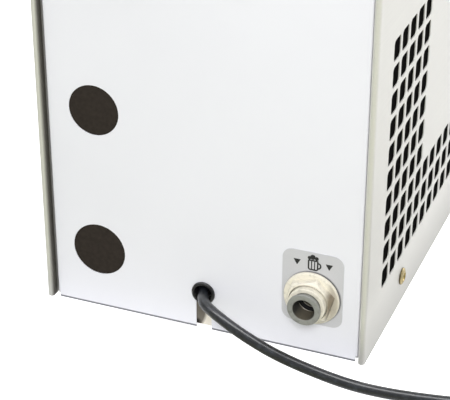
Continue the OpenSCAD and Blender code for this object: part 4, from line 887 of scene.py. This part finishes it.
class DISPENSER_OT_inlet(bpy.types.Operator):
    """Shape the inlet's nut, round its collet and mark its label"""
    bl_idname = "dispenser.inlet"
    bl_label = "Beer inlet"

    def execute(self, context):
        self.nut()
        soften("inlet_body", 0.45 * MM, 3)
        soften("inlet_collet", 0.55 * MM, 3)
        soften("inlet_label", 0.08 * MM, 1)
        self.sign(context.scene.dispenser_fitting.sign_height)
        return {"FINISHED"}

    def nut(self):
        """A flanged hexagon nut: a round flange, the hexagon's chamfered sides, and the bore back down."""
        low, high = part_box("inlet_nut")
        outer, flat = (high.x - low.x) / 2, 12.2 * MM
        tall, flange = high.y - low.y, 2.4 * MM
        under = outer - 0.8 * MM
        disc = rounded([
            (NUT_BORE, 0), (under, 0), (under, 0.4 * MM), (outer, 0.6 * MM), (outer, flange),
            (flat - 0.4 * MM, flange)], np.array([0.1, 0.1, 0.2, 0.9]) * MM)
        crown = [(11.7 * MM, tall), (11.25 * MM, tall), (NUT_BORE, tall - 0.9 * MM), (NUT_BORE, 0)]
        made = hexagon_nut(disc, flat, flange, tall, 1.9 * MM, NUT_TURN, crown)
        made = made @ TO_BACK + (INLET.x, low.y, INLET.z)
        piece("inlet_flange_nut", [made], "casing", "ivory_plastic", ("inlet_nut",))

    def sign(self, tall):
        """A plain sign for beer, drawn one high: a mug, its handle, a head of three discs and two arrows."""
        half, low, rim, band, ink = 0.30, -0.5, 0.16, 0.10, 0.06 * MM / tall
        wall = rounded_box((-half, low), (half, rim), (0.10, 0.03, 0.03, 0.10))
        marks = [ribbon(wall, band, ink, closed=True)]
        marks += [ribbon([(x, low), (x, rim)], 0.7 * band, 1.05 * ink) for x in (-0.1, 0.1)]
        marks.append(ribbon(arc((half, -0.17), 0.2, -88, 88), band, 1.1 * ink))
        marks += [capped(arc((x, y), r, 0, 345), k * ink) for x, y, r, k in (
            (-0.25, 0.33, 0.12, 1), (-0.03, 0.40, 0.18, 1.1), (0.23, 0.34, 0.13, 1.2))]
        arrow = np.array([(-0.24, 0.08), (0.24, 0.08), (0, -0.34)])
        marks += [capped(arrow + (x, 0), ink) for x in (-1.06, 1.06)]
        label_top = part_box("inlet_label")[1]
        nut_top = INLET.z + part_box("inlet_nut")[1].x - INLET.x
        middle = (INLET.x, label_top.y, (label_top.z + nut_top) / 2 - 0.4 * MM)
        facing = [tall * mark @ FROM_BEHIND + middle for mark in marks]
        piece("label_sign", facing, "casing", "black_plastic")


# Controls

DIAL_STEPS = 7
DIAL_SWEEP = math.radians(270)
ROCKER_TILT = math.radians(7)
ROCKER_AXIS_IN = 1 * MM
# The rocker's two faces in its own section: the middle line and either end
ROCKER_WAIST = np.array((3.8, 0)) * MM
ROCKER_END = np.array((5, 6.9)) * MM
# Thickness of a printed mark, and how much of it is sunk
INK = 0.08 * MM
SUNK = 0.02 * MM


class DISPENSER_OT_controls(bpy.types.Operator):
    """Mark the thermostat's dial and the switch, and round their edges"""
    bl_idname = "dispenser.controls"
    bl_label = "Controls"

    def execute(self, context):
        soften("power_switch_body", 0.5 * MM, 3)
        soften("power_switch_rocker", 0.3 * MM, 3)
        soften("thermostat_knob", 0.45 * MM, 3)
        soften("thermostat_dial", 0.12 * MM, 2)
        self.ticks()
        self.numbers()
        self.pointer()
        self.switch_marks()
        return {"FINISHED"}

    def spot(self, angle, radius):
        """A point on the dial: the angle runs clockwise from the top, seen from behind."""
        return np.array((radius * math.sin(angle), radius * math.cos(angle)))

    def ticks(self):
        """Short bars pointing at the knob's axis, one for each step, and a dot where the dial starts."""
        angles = np.linspace(0, DIAL_SWEEP, DIAL_STEPS + 1)
        ends = (15.3 * MM, 17 * MM)
        bars = [ribbon([self.spot(a, r) for r in ends], 0.5 * MM, INK) for a in angles[1:]]
        bars.append(capped(arc(self.spot(0, 18 * MM), 1 * MM, 0, 345), INK))
        at = (DIAL.x, DIAL_FACE_Y - SUNK, DIAL.z)
        piece("dial_ticks", [b @ FROM_BEHIND + at for b in bars], "casing", "black_plastic")

    def numbers(self):
        """The figures 1 to 7, set upright round the dial: each is a flat shape with a little height."""
        points, faces, first = [], [], 0
        for step in range(1, DIAL_STEPS + 1):
            curve = bpy.data.curves.new("figure", "FONT")
            curve.body = str(step)
            curve.size = 3.8 * MM
            curve.align_x = curve.align_y = "CENTER"
            curve.extrude = INK / 2
            drawn = bpy.data.objects.new("figure", curve)
            mesh = bpy.data.meshes.new_from_object(drawn)
            flat = np.empty(3 * len(mesh.vertices))
            mesh.vertices.foreach_get("co", flat)
            place = np.append(self.spot(step * DIAL_SWEEP / DIAL_STEPS, 19.3 * MM), 0)
            points.append(flat.reshape(-1, 3) + place)
            faces += [[first + v for v in face.vertices] for face in mesh.polygons]
            first += len(mesh.vertices)
            bpy.data.batch_remove((drawn, curve, mesh))
        at = (DIAL.x, DIAL_FACE_Y + INK / 2 - SUNK, DIAL.z)
        made = bpy.data.meshes.new("dial_numbers")
        made.from_pydata((np.concatenate(points) @ FROM_BEHIND + at).tolist(), [], faces)
        finished("dial_numbers", made, "casing", "black_plastic")

    def pointer(self):
        """A white bar let into the end of the knob's rib: a rounded outline with a little height."""
        w, low, high = 0.7 * MM, 3.5 * MM, 10.2 * MM
        line = rounded_box((-w, low), (w, high), 0.5 * MM)
        at = (DIAL.x, KNOB_FACE_Y - 0.05 * MM, DIAL.z)
        bar = capped(line, 0.2 * MM) @ FROM_BEHIND + at
        piece("knob_pointer", [bar], "knob", "white_coat", finish="mark_white")

    def switch_marks(self):
        """A bar on the rocker's upper face and a ring on its lower one, laid on the faces' own slope."""
        bar = capped(np.array([(-0.35, -1.6), (0.35, -1.6), (0.35, 1.6), (-0.35, 1.6)]) * MM, INK)
        ring = ribbon(arc((0, 0), 1.5 * MM, 0, 348, 30), 0.6 * MM, INK, closed=True)
        c, s = math.cos(ROCKER_TILT), math.sin(ROCKER_TILT)
        turn = np.array([(c, -s), (s, c)])
        made = []
        for mark, side in ((bar, 1), (ring, -1)):
            waist, end = ROCKER_WAIST @ turn, (ROCKER_END * (1, side)) @ turn
            along = unit(end - waist) * side
            out = np.array((along[1], -along[0]))
            middle = (waist + end) / 2 - SUNK * out
            at = (SWITCH.x, PANEL_Y - ROCKER_AXIS_IN + middle[0], DIAL.z + middle[1])
            axes = np.array([(-1, 0, 0), (0, *along), (0, *out)])
            made.append(mark @ axes + at)
        piece("rocker_marks", made, "rocker", "white_coat", finish="mark_white")


# Tap and tray

class DISPENSER_OT_tap(bpy.types.Operator):
    """Shape the tap's grip and nut, and round the edges of tap and tray"""
    bl_idname = "dispenser.tap"
    bl_label = "Tap and tray"

    def execute(self, context):
        for node, width in (("tap_body", 0.4), ("tap_bonnet", 0.6), ("tap_shank", 0.8), ("flow_lever", 0.5),
                            ("drip_tray", 0.8)):
            soften(node, width * MM, 3)
        soften("drip_grid", 0.3 * MM)
        self.grip()
        self.nut()
        return {"FINISHED"}

    def grip(self):
        """The turned grip, in millimetres: a foot with the rod's hole, a waist and a full shoulder."""
        low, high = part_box("tap_grip")
        tall, r = (high.z - low.z) / MM, (high.x - low.x) / 2 / MM
        hole, deep = 3.8, 20
        profile = MM * rounded([
            (0, deep), (hole, deep), (hole, 0), (8.5, 0), (9.5, 2), (8.5, 26), (r - 1, tall - 22),
            (r, tall - 12), (r - 2, tall - 3.4), (r - 6, tall), (0, tall)],
            [0.3, 0.3, 0.8, 3, 60, 40, 16, 6, 6], 8)
        made = lathe(profile) + (SPOUT.x, SPOUT.y, low.z)
        piece("tap_grip_turned", [made], "handle", "grip_black", ("tap_grip",))

    def nut(self):
        """The shank's hexagon nut: chamfered sides between two rings, and its bore."""
        low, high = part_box("shank_nut")
        flat, bore, tall = 15 * MM, 8.2 * MM, high.y - low.y
        foot = [(bore, 0), (flat - 0.2 * MM, 0)]
        crown = [(0.96 * flat, tall), (bore, tall), (bore, 0)]
        made = hexagon_nut(foot, flat, 0.1 * MM, tall, 2 * MM, math.radians(30), crown)
        made = made @ TO_FRONT + (0, high.y, (low.z + high.z) / 2)
        piece("shank_hexagon_nut", [made], "casing", "chrome", ("shank_nut",))


# Studio

# How brightly the white floor and the sky show in the picture itself
SEEN_GLOW = 1.0


class DISPENSER_OT_studio(bpy.types.Operator):
    """Set the camera, the white floor, the sky and the lights"""
    bl_idname = "dispenser.studio"
    bl_label = "Studio"

    def execute(self, context):
        studio = context.scene.dispenser_studio
        scene = context.scene
        scene.view_settings.view_transform = "Standard"
        self.camera(scene, studio)
        self.sky(scene, studio.fill, studio.horizon, studio.sky)
        self.floor(studio.floor_glow)
        self.flag()
        key = self.light("key", place=(-0.61, 1.90, 1.46), aim=(0, 0.15, 0.12), size=0.7, power=33)
        key.visible_glossy = False
        strip = self.light("strip", place=(0.4, 0.42, 1.5), aim=(0.4, 0.32, 0), size=2.6, power=30)
        strip.data.shape = "RECTANGLE"
        strip.data.size_y = 0.5
        strip.visible_diffuse = False
        self.light("front_fill", place=(-0.7, -1.5, 0.9), aim=(0, -0.1, 0.2), size=1.2, power=19)
        return {"FINISHED"}

    def aimed(self, name, data, place, gaze):
        """A camera or a light at a place, looking along a direction."""
        made = linked(name, data)
        made.location = place
        made.rotation_mode = "QUATERNION"
        made.rotation_quaternion = Vector(gaze).to_track_quat("-Z", "Y")
        return made

    def camera(self, scene, studio):
        data = bpy.data.cameras.new("camera")
        data.lens = studio.lens
        data.sensor_width = 36
        scene.camera = self.aimed("camera", data, studio.eye, studio.gaze)

    def light(self, name, place, aim, size, power):
        data = bpy.data.lights.new(name, "AREA")
        data.shape = "DISK"
        data.size = size
        data.energy = power
        return self.aimed(name, data, place, Vector(aim) - Vector(place))

    def sky(self, scene, fill, low, high):
        """Even light from all round; what surfaces reflect grows from the horizon to straight above."""
        scene.world = bpy.data.worlds.new("studio")
        scene.world.use_nodes = True
        tree = scene.world.node_tree
        tree.nodes.clear()
        way = add_node(tree, "TexCoord", {}, "Generated")
        up = add_node(tree, "SeparateXYZ", {0: way}, "Z")
        climb = add_node(tree, "MapRange", {
            "Value": up, "From Min": 0.05, "From Max": 0.95, "To Min": low, "To Max": high})
        shown = add_node(tree, "Background", {"Color": (0.99, 0.995, 1), "Strength": fill})
        for ray, colour, strength in (
                ("Is Glossy Ray", (0.97, 0.985, 1), climb), ("Is Camera Ray", (1, 1, 1), SEEN_GLOW)):
            is_ray = add_node(tree, "LightPath", {}, ray)
            other = add_node(tree, "Background", {"Color": colour, "Strength": strength})
            shown = add_node(tree, "MixShader", {0: is_ray, 1: shown, 2: other})
        feed(tree, tree.nodes.new("ShaderNodeOutputWorld").inputs[0], shown)

    def sheet(self, name, points, faces, finish):
        """A flat sheet that belongs to the stage."""
        mesh = bpy.data.meshes.new(name)
        mesh.from_pydata(points.reshape(-1, 3).tolist(), [], faces.tolist())
        mesh.materials.append(finish.material)
        made = linked(name, mesh)
        return made

    def floor(self, glow):
        """A wide flat disc: rows of growing radius, so that its middle has the small faces."""
        rings, turns = [(0, 0), (0.5, 0), (2, 0), (8, 0)], 48
        f = Finish("floor_white", base_color=(0.7, 0.7, 0.7), roughness=0.8, emission_color=(1, 1, 1))
        seen = f.add("LightPath", {}, "Is Camera Ray")
        f.lead(f.ranged(seen, 0, 1, glow, SEEN_GLOW), "Emission Strength")
        f.bump(f.noise(30), 0.02, 0.5 * MM)
        self.sheet("floor", lathe(rings, turns), grid_faces(len(rings), turns), f)

    def flag(self):
        """An olive card on the floor behind the machine, for metal to reflect, out of the camera's sight."""
        x, y = np.meshgrid(np.linspace(-1.2, 1.2, 3), np.linspace(0.24, 1.9, 3))
        points = np.stack([x, y, np.full(x.shape, 1 * MM)], -1)
        faces = np.array([0, 1, 3, 4])[:, None] + np.array([0, 1, 4, 3])
        f = Finish("flag_olive", base_color=(0.42, 0.43, 0.31), roughness=0.9)
        f.bump(f.noise(60), 0.05, 0.5 * MM)
        card = self.sheet("flag", points, faces, f)
        card.visible_camera = False
        card.visible_shadow = False


class DISPENSER_PT_panel(bpy.types.Panel):
    """The steps that dress the dispenser"""
    bl_idname = "DISPENSER_PT_panel"
    bl_label = "Beer dispenser"
    bl_space_type = "VIEW_3D"
    bl_region_type = "UI"
    bl_category = "Dispenser"

    def draw(self, context):
        for step in STEPS:
            self.layout.operator(step.bl_idname)


SETTINGS = {
    "dispenser_casing": CasingSettings,
    "dispenser_lead": LeadSettings,
    "dispenser_fitting": FittingSettings,
    "dispenser_studio": StudioSettings,
}
STEPS = (
    DISPENSER_OT_studio,
    DISPENSER_OT_finishes,
    DISPENSER_OT_mains_lead,
    DISPENSER_OT_casing,
    DISPENSER_OT_inlet,
    DISPENSER_OT_controls,
    DISPENSER_OT_tap,
)


def register():
    for name, group in SETTINGS.items():
        bpy.utils.register_class(group)
        setattr(bpy.types.Scene, name, PointerProperty(type=group))
    for made in (*STEPS, DISPENSER_PT_panel):
        bpy.utils.register_class(made)


def unregister():
    for made in (DISPENSER_PT_panel, *reversed(STEPS)):
        bpy.utils.unregister_class(made)
    for name, group in SETTINGS.items():
        delattr(bpy.types.Scene, name)
        bpy.utils.unregister_class(group)


def main():
    register()
    for step in STEPS:
        getattr(bpy.ops.dispenser, step.bl_idname.split(".")[1])()


if __name__ == "__main__":
    main()
